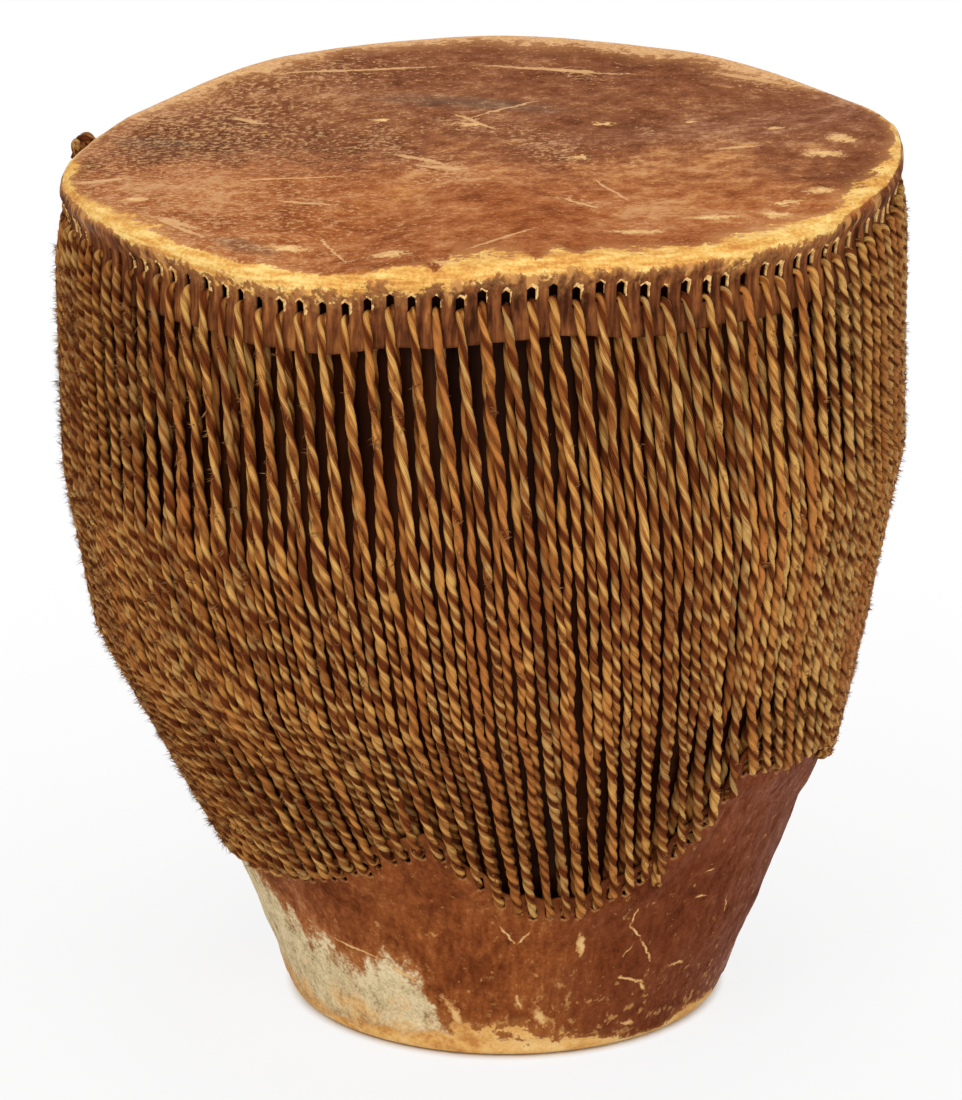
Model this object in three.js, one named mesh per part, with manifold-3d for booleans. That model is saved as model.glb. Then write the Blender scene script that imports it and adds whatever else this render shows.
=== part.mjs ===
// A hide-covered drum: a carved wooden shell, a hide over each end, and a zigzag lacing of
// rawhide thongs that pulls the two hides towards each other. Millimetres, Z up.
// The origin is the centre of the flat underside, where the lower hide meets the ground.

import * as THREE from 'three';
import Module from 'manifold-3d';
import { mergeVertices } from 'three/addons/utils/BufferGeometryUtils.js';

const wasm = await Module();
wasm.setup();

// Driving dimensions of the drum as a whole
const head_height = 420;
const bowl_radius = 198;
const foot_radius = 107.8;
const bowl_shift = 11;
const head_rise_right = 6.1;
const head_rise_back = 11;
const rim_wave_height = 2.8;
const rim_wave_depth = 0.8;

// The wood
const wall = 15;
const foot_chamfer = 7;
const neck_radius = 188.5;
const lip_depth = 5.5;
const lip_height = 8.6;
const bearing_width = 12;

// The hides
const hide = 2;
const roll_thickness = 5.4;
const roll_height = 11.5;
const skirt_length = 36;
const upper_slot_drop = 19;
const slot_height = 7.2;
const upper_slot_width = 5;
const lower_slot_width = 4.6;
const lower_edge_margin = 9;
const lower_skin_lift = 24;

// The lacing
const strand_width = 4.2;
const strand_thickness = 4.4;
const seat_gap = 0.4;
const hide_gap = 0.6;
const slot_scatter = 1.6;

// The carrying loop and the two thong links that it hangs in
const rope = 11;
const eye_wire = 4.6;
const eye_radius = 6.5;
const loop_width = 66;
const loop_drop = 104;
const loop_bow = 1.5;
const link_wire = 2.8;
const link_play = 0.9;
const link_height = 13;
const hole_play = 0.3;

// Counts
const slots = 120;
const thongs = 24;
const facets = 60;
const rope_sides = 8;
const wire_sides = 6;
const loop_steps = 8;
const eye_steps = 12;
const slots_per_thong = slots / thongs;
const pitch = 2 * Math.PI / slots;

// The hide folds over the lip, and its roll stands out from the neck
const roll_inside = neck_radius + lip_depth + hide_gap;
const roll_radius = roll_inside + roll_thickness;

// A bend is mitred no longer than at this cosine of half its angle
const sharpest_mitre_share = 0.5;

// The strands lean: a thong enters the lower hide this many slot pitches round from where
// it left the upper one.
const lean_pitch_share = 2.5;

// Levels of the bowl, from the foot up: height as a share of head_height, radius as a share
// of bowl_radius, how far it has drawn in from there to neck_radius, and how much of the
// axis shift, the head's tilt and the rim's wave is reached. Between levels all run straight.
const belly_level_shares = [
  { high: 0.202, wide: 0.663, drawn: 0, shift: -0.17, tilt: 0, wave: 0 },
  { high: 0.465, wide: 0.924, drawn: 0, shift: 1.05, tilt: 0.2, wave: 0 },
  { high: 0.664, wide: 1, drawn: 0, shift: 1, tilt: 0.65, wave: 0 },
  { high: 0.917, wide: 1, drawn: 0.9, shift: 1, tilt: 1, wave: 1 },
];
const level_radius = ({ wide, drawn }) => wide * bowl_radius
  + drawn * (neck_radius - bowl_radius);

// The lip's outside: out of the neck as a share of lip_depth, and up as a share of lip_height
const lip_outline_shares = [[1, 0.33], [0.5, 0.75]];

// The rolled hide: depths of its shoulder, its widest line and its fold, of roll_height
const roll_shoulder_share = 0.125;
const roll_widest_share = 0.625;
const roll_fold_share = 0.5;

// The lower hide's turn round the foot: out and up, as shares of foot_chamfer
const foot_turn_share = 0.75;
const foot_lift_share = 0.33;

// The lower hide's row of slots rises and falls with the animal's outline:
// degrees round the drum and height as a share of head_height.
const lower_slot_shares = [
  [0, 0.31], [20, 0.255], [40, 0.24], [60, 0.268], [80, 0.29], [100, 0.262],
  [120, 0.232], [140, 0.248], [160, 0.278], [180, 0.268], [196, 0.195], [208, 0.205],
  [226, 0.22], [236, 0.241], [244, 0.26], [252, 0.288], [259, 0.298], [265, 0.252],
  [271, 0.215], [277, 0.206], [283, 0.208], [290, 0.232], [297, 0.248], [303, 0.282],
  [308, 0.308], [313, 0.371], [318, 0.359], [324, 0.354], [332, 0.352], [345, 0.31],
];

// The hand-cut rim stands out and dips, or draws in and rises: degrees and share of the wave
const rim_wave_shares = [
  [0, -1.4], [30, 0.9], [60, -1.1], [90, -2.4], [120, -2.3], [150, 0.6], [165, 1.4], [180, 0.7],
  [205, -0.7], [228, -0.7], [246, 0.7], [262, -1.3], [280, -2.2], [296, -0.4], [316, 0.4], [338, -0.1],
];

// Value at an angle of a closed table of [degrees, value] pairs, eased between its entries
function round_table(table, angle) {
  const degrees = THREE.MathUtils.euclideanModulo(THREE.MathUtils.radToDeg(angle), 360);
  let next = table.findIndex((entry) => entry[0] > degrees);
  if (next < 0) next = table.length;
  const a = table[next - 1];
  const b = next < table.length ? table[next] : [table[0][0] + 360, table[0][1]];
  const t = (degrees - a[0]) / (b[0] - a[0]);
  const eased = (1 - Math.cos(Math.PI * t)) / 2;
  return a[1] + (b[1] - a[1]) * eased;
}

// A repeatable scatter between -1 and 1 for a hand-made row
function scatter(index, row) {
  const value = Math.sin(index * 12.9898 + row * 78.233) * 43758.5453;
  return 2 * (value - Math.floor(value)) - 1;
}

// How much of a shift, tilt or wave is reached at a height
function reached(kind, height) {
  const share = height / head_height;
  const above = belly_level_shares.findIndex((level) => level.high > share);
  if (above < 0) return 1;
  const b = belly_level_shares[above];
  const a = above > 0 ? belly_level_shares[above - 1] : { high: 0, [kind]: 0 };
  return a[kind] + (b[kind] - a[kind]) * (share - a.high) / (b.high - a.high);
}

// Every piece is laid out round a straight upright axis and then placed: the bowl's axis
// moves over above the foot, and the head is tilted and waved.
function place(radius, angle, height) {
  const out = radius / roll_radius;
  const wave = out * round_table(rim_wave_shares, angle) * reached('wave', height);
  const rise = head_rise_right * Math.cos(angle) + head_rise_back * Math.sin(angle);
  const r = radius + rim_wave_depth * wave;
  return new THREE.Vector3(
    r * Math.cos(angle) - bowl_shift * reached('shift', height),
    r * Math.sin(angle),
    height + out * rise * reached('tilt', height) - rim_wave_height * wave,
  );
}

// The shell's outside, from the foot up to the neck
const shell_bottom = hide + seat_gap;
const shell_top = head_height - hide - seat_gap;
const neck_top = shell_top - lip_height;
const shell_outline = [
  [foot_radius - foot_chamfer, shell_bottom],
  [foot_radius, shell_bottom + foot_chamfer],
  ...belly_level_shares.map((level) => [level_radius(level), level.high * head_height]),
  [neck_radius, neck_top],
];

// Value at a height on the straight line through two points [value, height]
function on_line([value_a, height_a], [value_b, height_b], height) {
  return value_a + (value_b - value_a) * (height - height_a) / (height_b - height_a);
}

// The two corners of the outline that a height lies between
function shell_corners(height) {
  const found = shell_outline.findIndex((point) => point[1] >= height);
  const above = found < 0 ? shell_outline.length - 1 : Math.max(found, 1);
  return [shell_outline[above - 1], shell_outline[above]];
}

const shell_radius = (height) => on_line(...shell_corners(height), height);

// How much longer a distance square to the wood's slope is when it is measured level
function slope_factor(height) {
  const [a, b] = shell_corners(height);
  return Math.hypot(1, (b[0] - a[0]) / (b[1] - a[1]));
}

const off_wood = (height, distance) => shell_radius(height) + distance * slope_factor(height);

// A mesh under construction: points, triangles and rings of points round the axis
class Skin_mesh {
  constructor() {
    this.points = [];
    this.triangles = [];
  }

  add(point) {
    this.points.push(point);
    return this.points.length - 1;
  }

  // A ring of points at the given angles; level(angle, index) gives its radius and height
  ring(angles, level) {
    return angles.map((angle, index) => ({
      angle,
      index: this.add(place(level(angle, index)[0], angle, level(angle, index)[1])),
    }));
  }

  triangle(a, b, c) {
    this.triangles.push(a, b, c);
  }

  quad(a, b, c, d) {
    this.triangle(a, b, c);
    this.triangle(a, c, d);
  }

  // A strip between two closed rings, whose counts may differ
  bridge(first, second) {
    let i = 0;
    let j = 0;
    const turn = 2 * Math.PI;
    const at = (ring, k) => ring[k % ring.length].angle + turn * Math.floor(k / ring.length);
    while (i < first.length || j < second.length) {
      const a = first[i % first.length].index;
      const b = second[j % second.length].index;
      const step_first = i < first.length
        && (j >= second.length || at(first, i + 1) <= at(second, j + 1));
      if (step_first) {
        i += 1;
        this.triangle(a, first[i % first.length].index, b);
      } else {
        j += 1;
        this.triangle(a, second[j % second.length].index, b);
      }
    }
  }

  cap(centre, ring) {
    ring.forEach((point, k) => {
      this.triangle(ring[(k + 1) % ring.length].index, centre, point.index);
    });
  }

  // Turned over where the faces point in, then merged
  geometry() {
    const corner = (k) => this.points[this.triangles[k]];
    let volume = 0;
    for (let k = 0; k < this.triangles.length; k += 3) {
      volume += corner(k).dot(corner(k + 1).clone().cross(corner(k + 2)));
    }
    const shape = new THREE.BufferGeometry();
    const values = this.points.flatMap((point) => point.toArray());
    const faces = volume > 0 ? this.triangles : this.triangles.slice().reverse();
    shape.setAttribute('position', new THREE.Float32BufferAttribute(values, 3));
    shape.setIndex(faces);
    return shape;
  }
}

const ring_angles = (count, from = 0) => Array.from(
  { length: count },
  (_, k) => from + 2 * Math.PI * k / count,
);

const group = new THREE.Group();

function add_piece(name, geometry, finish) {
  const material = new THREE.MeshStandardMaterial({ ...finish, metalness: 0 });
  const mesh = new THREE.Mesh(geometry, material);
  mesh.name = name;
  group.add(mesh);
}

// The wooden shell: one carved log, hollow from end to end
function wooden_shell() {
  const mesh = new Skin_mesh();
  const outside = [
    ...shell_outline,
    ...lip_outline_shares.map(([out, up]) => (
      [neck_radius + out * lip_depth, neck_top + up * lip_height]
    )),
    [neck_radius - hide, shell_top],
  ];
  const inside = [
    [neck_radius - hide - bearing_width, shell_top],
    ...belly_level_shares.map((level) => [level_radius(level) - wall, level.high * head_height])
      .reverse(),
    [foot_radius - foot_chamfer - wall, shell_bottom],
  ];
  const rings = [...outside, ...inside].map((level) => (
    mesh.ring(ring_angles(facets), () => level)
  ));
  rings.forEach((ring, k) => mesh.bridge(ring, rings[(k + 1) % rings.length]));
  return mesh.geometry();
}

// Where the slots lie. Angles count from +X; the lower row is turned by the strands' lean.
const upper_angle = (k) => pitch * k + slot_scatter / 2 * scatter(k, 1) / roll_radius;
const lower_angle = (k) => pitch * (k + lean_pitch_share)
  + slot_scatter / 2 * scatter(k, 2) / roll_radius;
const upper_slot = (k) => head_height - upper_slot_drop + slot_scatter * scatter(k, 3);
const row_height = (angle) => head_height * round_table(lower_slot_shares, angle);
const lower_slot = (k) => row_height(lower_angle(k)) + slot_scatter * scatter(k, 4);

const around = (k) => (k % slots + slots) % slots;

// How far the middle of a strand stands off what it lies on
const under_strand = seat_gap + strand_thickness / 2;

const upper_row = head_height - upper_slot_drop;
const upper_skirt_foot = head_height - skirt_length;
const off_level = ({ high }) => (
  [off_wood(high * head_height, under_strand), high * head_height]
);
const [knee, lower_station, upper_station, shoulder] = belly_level_shares.map(off_level);

// Radius at which an inner strand turns into its slot: on the wood, or further out where it
// has to clear a corner of the wood on its straight way from a station
function turning_radius(height, station, corner) {
  return Math.max(off_wood(height, under_strand), on_line(station, corner, height));
}
const upper_turning = (height) => turning_radius(height, upper_station, shoulder);
const lower_turning = (height) => turning_radius(height, lower_station, knee);

const skirt_foot_inside = on_line(
  upper_station,
  [upper_turning(upper_row), upper_row],
  upper_skirt_foot,
) + strand_thickness / 2 + hide_gap + seat_gap;
const skirt_slot_inside = upper_turning(upper_row) + strand_thickness / 2 + hide_gap;

function skirt_inside(height) {
  return on_line(
    [skirt_foot_inside, upper_skirt_foot],
    [skirt_slot_inside, upper_row],
    Math.min(height, upper_row),
  );
}

// A band of hide with a slot for every strand: bars between the slots, and each slot's walls.
// near and far are the band's edges on the side of the hide's middle and of its free edge.
function slot_band(mesh, near_out, far_out, near_in, far_in) {
  for (let s = 0; s < slots; s += 1) {
    const left = 2 * s;
    const right = left + 1;
    const next = (left + 2) % (2 * slots);
    const [no, fo, ni, fi] = [near_out, far_out, near_in, far_in]
      .map((ring) => ring.map((point) => point.index));
    mesh.quad(no[right], no[next], fo[next], fo[right]);
    mesh.quad(fi[right], fi[next], ni[next], ni[right]);
    mesh.quad(no[left], no[right], ni[right], ni[left]);
    mesh.quad(fi[left], fi[right], fo[right], fo[left]);
    mesh.quad(no[left], ni[left], fi[left], fo[left]);
    mesh.quad(no[right], fo[right], fi[right], ni[right]);
  }
}

// The angles of both edges of every slot
function slot_edges(angle_of, width, radius_of) {
  return Array.from({ length: slots }, (_, k) => {
    const half = width / 2 / radius_of(k);
    return [angle_of(k) - half, angle_of(k) + half];
  }).flat();
}

// The upper hide: a flat head, a rolled rim and a skirt with the upper slots
function upper_skin() {
  const mesh = new Skin_mesh();
  const coarse = ring_angles(facets, pitch / 2);
  const edge = ring_angles(slots, pitch / 2);
  const fine = slot_edges(upper_angle, upper_slot_width, () => skirt_slot_inside);
  const top = head_height;
  const roll_foot = top - roll_height;
  const slot_level = (side, out) => (_, index) => {
    const height = upper_slot(Math.floor(index / 2)) + side * slot_height / 2;
    return [skirt_inside(height) + out, height];
  };
  const ring = (level) => mesh.ring(coarse, () => level);

  const head_out = mesh.add(place(0, 0, top));
  const outside = [
    ring([roll_radius / 2, top]),
    ring([neck_radius - hide, top]),
    ring([roll_radius - lip_depth, top - roll_shoulder_share * roll_height]),
    ring([roll_radius, top - roll_widest_share * roll_height]),
    ring([roll_radius - hide, roll_foot]),
  ];
  const near_out = mesh.ring(fine, slot_level(1, hide));
  const far_out = mesh.ring(fine, slot_level(-1, hide));
  const foot_out = mesh.ring(edge, () => [skirt_foot_inside + hide, upper_skirt_foot]);
  const foot_in = mesh.ring(edge, () => [skirt_foot_inside, upper_skirt_foot]);
  const far_in = mesh.ring(fine, slot_level(-1, 0));
  const near_in = mesh.ring(fine, slot_level(1, 0));
  const inside = [
    ring([roll_inside, roll_foot]),
    ring([roll_inside, top - roll_fold_share * roll_height]),
    ring([neck_radius, top - hide]),
    ring([roll_radius / 2, top - hide]),
  ];
  const head_in = mesh.add(place(0, 0, top - hide));

  mesh.cap(head_out, outside[0].slice().reverse());
  const chain_out = [...outside, near_out];
  chain_out.slice(1).forEach((next, k) => mesh.bridge(chain_out[k], next));
  slot_band(mesh, near_out, far_out, near_in, far_in);
  mesh.bridge(far_out, foot_out);
  mesh.bridge(foot_out, foot_in);
  mesh.bridge(foot_in, far_in);
  const chain_in = [near_in, ...inside];
  chain_in.slice(1).forEach((next, k) => mesh.bridge(chain_in[k], next));
  mesh.cap(head_in, inside[inside.length - 1]);
  return mesh.geometry();
}

// Radius of what lies off the inner strands by a distance, inside the lower hide's cuff
function cuff_radius(angle, height, distance) {
  const slot = row_height(angle);
  const strand = on_line([lower_turning(slot), slot], lower_station, height);
  const inner = Math.max(strand, off_wood(height, under_strand));
  return inner + (strand_thickness / 2 + hide_gap + distance) * slope_factor(height);
}

// The lower hide: flat under the foot, then a cup up the cone to its uneven, slotted edge
function lower_skin() {
  const mesh = new Skin_mesh();
  const lean = pitch * lean_pitch_share;
  const coarse = ring_angles(facets, lean + pitch / 2);
  const edge = ring_angles(slots, lean + pitch / 2);
  const fine = slot_edges(lower_angle, lower_slot_width, (k) => shell_radius(lower_slot(k)));
  const flat = foot_radius - foot_chamfer;
  const corner = shell_bottom + foot_chamfer;
  const slot_level = (side, out) => (angle, index) => {
    const height = lower_slot(Math.floor(index / 2)) + side * slot_height / 2;
    return [cuff_radius(angle, height, out), height];
  };
  const cup_height = (angle) => row_height(angle) - lower_skin_lift;
  const cup_level = (out) => (angle) => {
    const height = cup_height(angle);
    return [off_wood(height, hide_gap + out), height];
  };
  const knee_level = (out) => (angle) => {
    const height = Math.min(knee[1], cup_height(angle) - hide);
    return [off_wood(height, hide_gap + out), height];
  };
  const edge_level = (out) => (angle) => {
    const height = row_height(angle) + lower_edge_margin;
    return [cuff_radius(angle, height, out), height];
  };
  const ring = (level) => mesh.ring(coarse, () => level);

  const foot_out = mesh.add(place(0, 0, 0));
  const outside = [
    ring([flat, 0]),
    ring([flat + foot_turn_share * foot_chamfer, foot_lift_share * foot_chamfer]),
    ring([foot_radius + hide_gap + hide, corner]),
    mesh.ring(coarse, knee_level(hide)),
    mesh.ring(coarse, cup_level(hide)),
  ];
  const near_out = mesh.ring(fine, slot_level(-1, hide));
  const far_out = mesh.ring(fine, slot_level(1, hide));
  const edge_out = mesh.ring(edge, edge_level(hide));
  const edge_in = mesh.ring(edge, edge_level(0));
  const far_in = mesh.ring(fine, slot_level(1, 0));
  const near_in = mesh.ring(fine, slot_level(-1, 0));
  const inside = [
    mesh.ring(coarse, cup_level(0)),
    mesh.ring(coarse, knee_level(0)),
    ring([foot_radius + hide_gap, corner]),
    ring([flat, hide]),
  ];
  const foot_in = mesh.add(place(0, 0, hide));

  mesh.cap(foot_out, outside[0].slice().reverse());
  const chain_out = [...outside, near_out];
  chain_out.slice(1).forEach((next, k) => mesh.bridge(chain_out[k], next));
  slot_band(mesh, near_out, far_out, near_in, far_in);
  mesh.bridge(far_out, edge_out);
  mesh.bridge(edge_out, edge_in);
  mesh.bridge(edge_in, far_in);
  const chain_in = [near_in, ...inside];
  chain_in.slice(1).forEach((next, k) => mesh.bridge(chain_in[k], next));
  mesh.cap(foot_in, inside[inside.length - 1]);
  return mesh.geometry();
}

// A four-sided strand swept through stations [angle, radius, height]. Its section is a
// diamond: two corners lie round the drum, two lie along the bisector of each bend.
function strand(stations) {
  const mesh = new Skin_mesh();
  const last = stations.length - 1;
  const heading = (k) => {
    const [, r1, h1] = stations[k];
    const [, r2, h2] = stations[k + 1];
    return new THREE.Vector2(r2 - r1, h2 - h1).normalize();
  };
  const sections = stations.map(([angle, radius, height], k) => {
    const before = heading(Math.max(k - 1, 0));
    const after = heading(Math.min(k, last - 1));
    const along = before.clone().add(after).normalize();
    const reach = strand_thickness / 2 / Math.max(along.dot(after), sharpest_mitre_share);
    const side = strand_width / 2 / radius;
    return [
      mesh.add(place(radius, angle - side, height)),
      mesh.add(place(radius - along.y * reach, angle, height + along.x * reach)),
      mesh.add(place(radius, angle + side, height)),
      mesh.add(place(radius + along.y * reach, angle, height - along.x * reach)),
    ];
  });
  sections.slice(1).forEach((section, k) => {
    section.forEach((corner, j) => {
      const next = (j + 1) % section.length;
      mesh.quad(sections[k][j], sections[k][next], section[next], corner);
    });
  });
  const [a, b, c, d] = sections[0];
  mesh.quad(d, c, b, a);
  mesh.quad(...sections[last]);
  return mesh;
}

const mean_slot_height = lower_slot_shares[0][1] * head_height;

// Angle of the k-th outer lane at a height, on the strands' way down
function lane(k, height) {
  const t = (upper_row - height) / (upper_row - mean_slot_height);
  return pitch * (k + lean_pitch_share * t);
}

// Radius at which an outer strand reaches its lower slot, so that it clears the hide's edge
function landing_radius(angle, height) {
  const edge = height + lower_edge_margin;
  const over_hide = (level) => cuff_radius(angle, level, hide + under_strand);
  const past_edge = on_line([over_hide(edge), edge], lower_station, height);
  return Math.max(past_edge, over_hide(height));
}

const skirt_foot_outside = skirt_foot_inside + hide + under_strand;
const upper_turn = skirt_slot_inside + hide + under_strand;

// The inner strand from a lower slot up behind both hides to the next upper slot, through
// it, down outside as the outer strand, and in through the next lower slot
function lacing_pitch(k, first) {
  const from = k - 1;
  const start = lower_slot(around(from));
  const low = start + (first ? strand_thickness : 0);
  const high = upper_slot(around(k));
  const end = lower_slot(around(k));
  const turns = 2 * Math.PI * Math.floor(from / slots);
  const half_lane = pitch / 2;
  return [
    [lower_angle(around(from)) + turns, lower_turning(low), low],
    [lane(from, lower_station[1]) + half_lane, ...lower_station],
    [lane(from, upper_station[1]) + half_lane, ...upper_station],
    [upper_angle(around(k)), upper_turning(high), high],
    [upper_angle(around(k)), upper_turn, high],
    [lane(k, upper_skirt_foot), skirt_foot_outside, upper_skirt_foot],
    [lane(k, upper_station[1]), ...upper_station],
    [lane(k, lower_station[1]), ...lower_station],
    [lower_angle(around(k)), landing_radius(lower_angle(around(k)), end), end],
  ];
}

// One thong: an unbroken zigzag through its run of slots, ending inside the last one
function thong_stations(index) {
  const first = index * slots_per_thong;
  const runs = Array.from(
    { length: slots_per_thong },
    (_, k) => lacing_pitch(first + k, k === 0),
  ).flat();
  const last = around(first + slots_per_thong - 1);
  const end = lower_slot(last);
  return [...runs, [lower_angle(last), lower_turning(end), end]];
}

// Least gap between neighbouring strands of one thong, measured between points on both
function least_gap(stations) {
  const points = [];
  const steps = 12;
  stations.slice(1).forEach((to, k) => {
    const from = stations[k];
    for (let s = 0; s <= steps; s += 1) {
      const t = s / steps;
      const at = from.map((value, j) => value + (to[j] - value) * t);
      points.push({ place: place(at[1], at[0], at[2]), radius: at[1], angle: at[0], leg: k + t });
    }
  });
  let least = Infinity;
  points.forEach((a, i) => {
    points.slice(i + 1).forEach((b) => {
      if (b.leg - a.leg < 2) return;
      const across = Math.abs(a.angle - b.angle) * a.radius;
      const rest = Math.sqrt(Math.max(a.place.distanceToSquared(b.place) - across * across, 0));
      const spread = across / strand_width + rest / strand_thickness - 1;
      least = Math.min(least, spread / Math.hypot(1 / strand_width, 1 / strand_thickness));
    });
  });
  return least;
}

// A closed body as a manifold, for cutting and joining
function solid(geometry) {
  const bare = geometry.clone();
  bare.deleteAttribute('normal');
  bare.deleteAttribute('uv');
  const merged = mergeVertices(bare);
  return new wasm.Manifold(new wasm.Mesh({
    numProp: 3,
    vertProperties: new Float32Array(merged.attributes.position.array),
    triVerts: new Uint32Array(merged.index.array),
  }));
}

function shape_of(body) {
  const mesh = body.getMesh();
  const shape = new THREE.BufferGeometry();
  shape.setAttribute('position', new THREE.Float32BufferAttribute(mesh.vertProperties, 3));
  shape.setIndex(Array.from(mesh.triVerts));
  return shape;
}

// The carrying loop hangs at the back left, over this slot pitch, and each link passes
// through the hide between two slots
const loop_slot = 48;
const loop_angle = pitch * (loop_slot + 0.5);
const surface_radius = skirt_foot_outside + strand_thickness / 2;
const loop_plane = surface_radius + hide_gap + rope / 2 - loop_bow;
const pivot_radius = Math.hypot(loop_plane, loop_width / 2);
const pivot_turn = Math.round(Math.atan2(loop_width / 2, loop_plane) / pitch);
const pivot_height = upper_row - strand_thickness / 2;
const link_angles = [-1, 1].map((side) => loop_angle + side * pivot_turn * pitch);
const pivots = link_angles.map((angle) => place(pivot_radius, angle, pivot_height));

// The loop hangs straight down, or leans out where the strands below stand further out
function leaning(height) {
  const outmost = Math.max(height, upper_station[1]);
  const strand = on_line([skirt_foot_outside, upper_skirt_foot], upper_station, outmost);
  return (strand - skirt_foot_outside) / (pivot_height - height);
}
const loop_foot = pivot_height - loop_drop;
const loop_lean = Math.max(0, leaning(loop_foot));

// The swing axis runs straight between the two pivots
const swing_centre = pivots[0].clone().add(pivots[1]).multiplyScalar(1 / 2);
const swing_axis = pivots[1].clone().sub(pivots[0]).normalize();
const loop_half = pivots[0].distanceTo(pivots[1]) / 2;
const level_out = new THREE.Vector3().crossVectors(swing_axis, new THREE.Vector3(0, 0, 1))
  .normalize();
const loop_up = new THREE.Vector3().crossVectors(level_out, swing_axis)
  .addScaledVector(level_out, -loop_lean).normalize();
const loop_out = new THREE.Vector3().crossVectors(swing_axis, loop_up);

const link_inner = (height) => (shell_radius(height) + skirt_inside(height)) / 2;
const link_outer = pivot_radius + eye_wire / 2 + link_play + link_wire / 2;

// Points of a link in the upright plane through its angle: a rounded rectangle
function link_points(angle) {
  const corner = link_wire;
  const low = pivot_height - link_height / 2;
  const high = pivot_height + link_height / 2;
  return [
    [link_inner(low), low], [link_inner(high), high],
    [link_outer - corner, high], [link_outer, high - corner],
    [link_outer, low + corner], [link_outer - corner, low],
  ].map(([radius, height]) => place(radius, angle, height));
}

// A closed tube through points, with mitred bends
function ring_tube(points, radius, sides) {
  const mesh = new Skin_mesh();
  const count = points.length;
  const centre = points.reduce((sum, p) => sum.add(p), new THREE.Vector3()).divideScalar(count);
  const normal = new THREE.Vector3();
  points.forEach((point, k) => {
    const a = point.clone().sub(centre);
    const b = points[(k + 1) % count].clone().sub(centre);
    normal.add(a.cross(b));
  });
  normal.normalize();
  const sections = points.map((point, k) => {
    const before = point.clone().sub(points[(k + count - 1) % count]).normalize();
    const after = points[(k + 1) % count].clone().sub(point).normalize();
    const along = before.add(after).normalize();
    const out = new THREE.Vector3().crossVectors(along, normal).normalize();
    const stretch = 1 / Math.max(along.dot(after), sharpest_mitre_share);
    return Array.from({ length: sides }, (_, j) => {
      const turn = 2 * Math.PI * (j + 0.5) / sides;
      return mesh.add(point.clone()
        .addScaledVector(out, radius * stretch * Math.cos(turn))
        .addScaledVector(normal, radius * Math.sin(turn)));
    });
  });
  sections.forEach((section, k) => {
    const next = sections[(k + 1) % count];
    section.forEach((corner, j) => {
      const side = (j + 1) % sides;
      mesh.quad(corner, section[side], next[side], next[j]);
    });
  });
  return mesh.geometry();
}

// A short bar along the drum's radius, for cutting a link's holes
function hole_bar(angle, height) {
  const half = link_wire / 2 + hole_play;
  const mesh = new Skin_mesh();
  const ends = [neck_radius, link_outer].map((radius) => (
    [[-half, -half], [half, -half], [half, half], [-half, half]].map(([side, up]) => (
      mesh.add(place(radius, angle + side / radius, height + up))
    ))
  ));
  ends[0].forEach((corner, j) => {
    const next = (j + 1) % ends[0].length;
    mesh.quad(corner, ends[0][next], ends[1][next], ends[1][j]);
  });
  mesh.quad(...ends[0].slice().reverse());
  mesh.quad(...ends[1]);
  return mesh.geometry();
}

function holed_upper_skin() {
  let body = solid(upper_skin());
  link_angles.forEach((angle) => {
    [-1, 1].forEach((side) => {
      const height = pivot_height + side * link_height / 2;
      body = body.subtract(solid(hole_bar(angle, height)));
    });
  });
  return shape_of(body);
}

// The carrying loop: a thick twisted rope with a small eye at each end
function carry_loop() {
  const at = (side, out, up) => swing_centre.clone()
    .addScaledVector(swing_axis, side)
    .addScaledVector(loop_out, out)
    .addScaledVector(loop_up, up);
  const eye_foot = -2 * eye_radius;
  const arc = Array.from({ length: loop_steps + 1 }, (_, k) => {
    const turn = Math.PI * k / loop_steps;
    return at(
      loop_half * Math.cos(turn),
      loop_bow,
      loop_half - loop_drop - loop_half * Math.sin(turn),
    );
  });
  const path = [at(loop_half, 0, eye_foot), ...arc, at(-loop_half, 0, eye_foot)];
  const mesh = new Skin_mesh();
  const sections = path.map((point, k) => {
    const before = path[Math.max(k - 1, 0)];
    const after = path[Math.min(k + 1, path.length - 1)];
    const along = after.clone().sub(before).normalize();
    const across = new THREE.Vector3().crossVectors(along, loop_out).normalize();
    const out = new THREE.Vector3().crossVectors(across, along).normalize();
    return Array.from({ length: rope_sides }, (_, j) => {
      const turn = 2 * Math.PI * (j + 0.5) / rope_sides;
      return mesh.add(point.clone()
        .addScaledVector(across, rope / 2 * Math.cos(turn))
        .addScaledVector(out, rope / 2 * Math.sin(turn)));
    });
  });
  sections.slice(1).forEach((section, k) => {
    section.forEach((corner, j) => {
      const next = (j + 1) % rope_sides;
      mesh.quad(sections[k][j], sections[k][next], section[next], corner);
    });
  });
  const centre_of = (section) => mesh.add(section
    .reduce((sum, corner) => sum.add(mesh.points[corner]), new THREE.Vector3())
    .divideScalar(rope_sides));
  const ends = [sections[0], sections[sections.length - 1].slice().reverse()];
  ends.forEach((section) => {
    const middle = centre_of(section);
    section.forEach((corner, j) => {
      mesh.triangle(corner, middle, section[(j + 1) % rope_sides]);
    });
  });
  let body = solid(mesh.geometry());
  [-1, 1].forEach((side) => {
    const eye = Array.from({ length: eye_steps }, (_, k) => {
      const turn = 2 * Math.PI * k / eye_steps;
      return at(
        side * loop_half + eye_radius * Math.sin(turn),
        0,
        -eye_radius + eye_radius * Math.cos(turn),
      );
    });
    body = body.add(solid(ring_tube(eye, eye_wire / 2, wire_sides)));
  });
  return shape_of(body);
}

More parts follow.
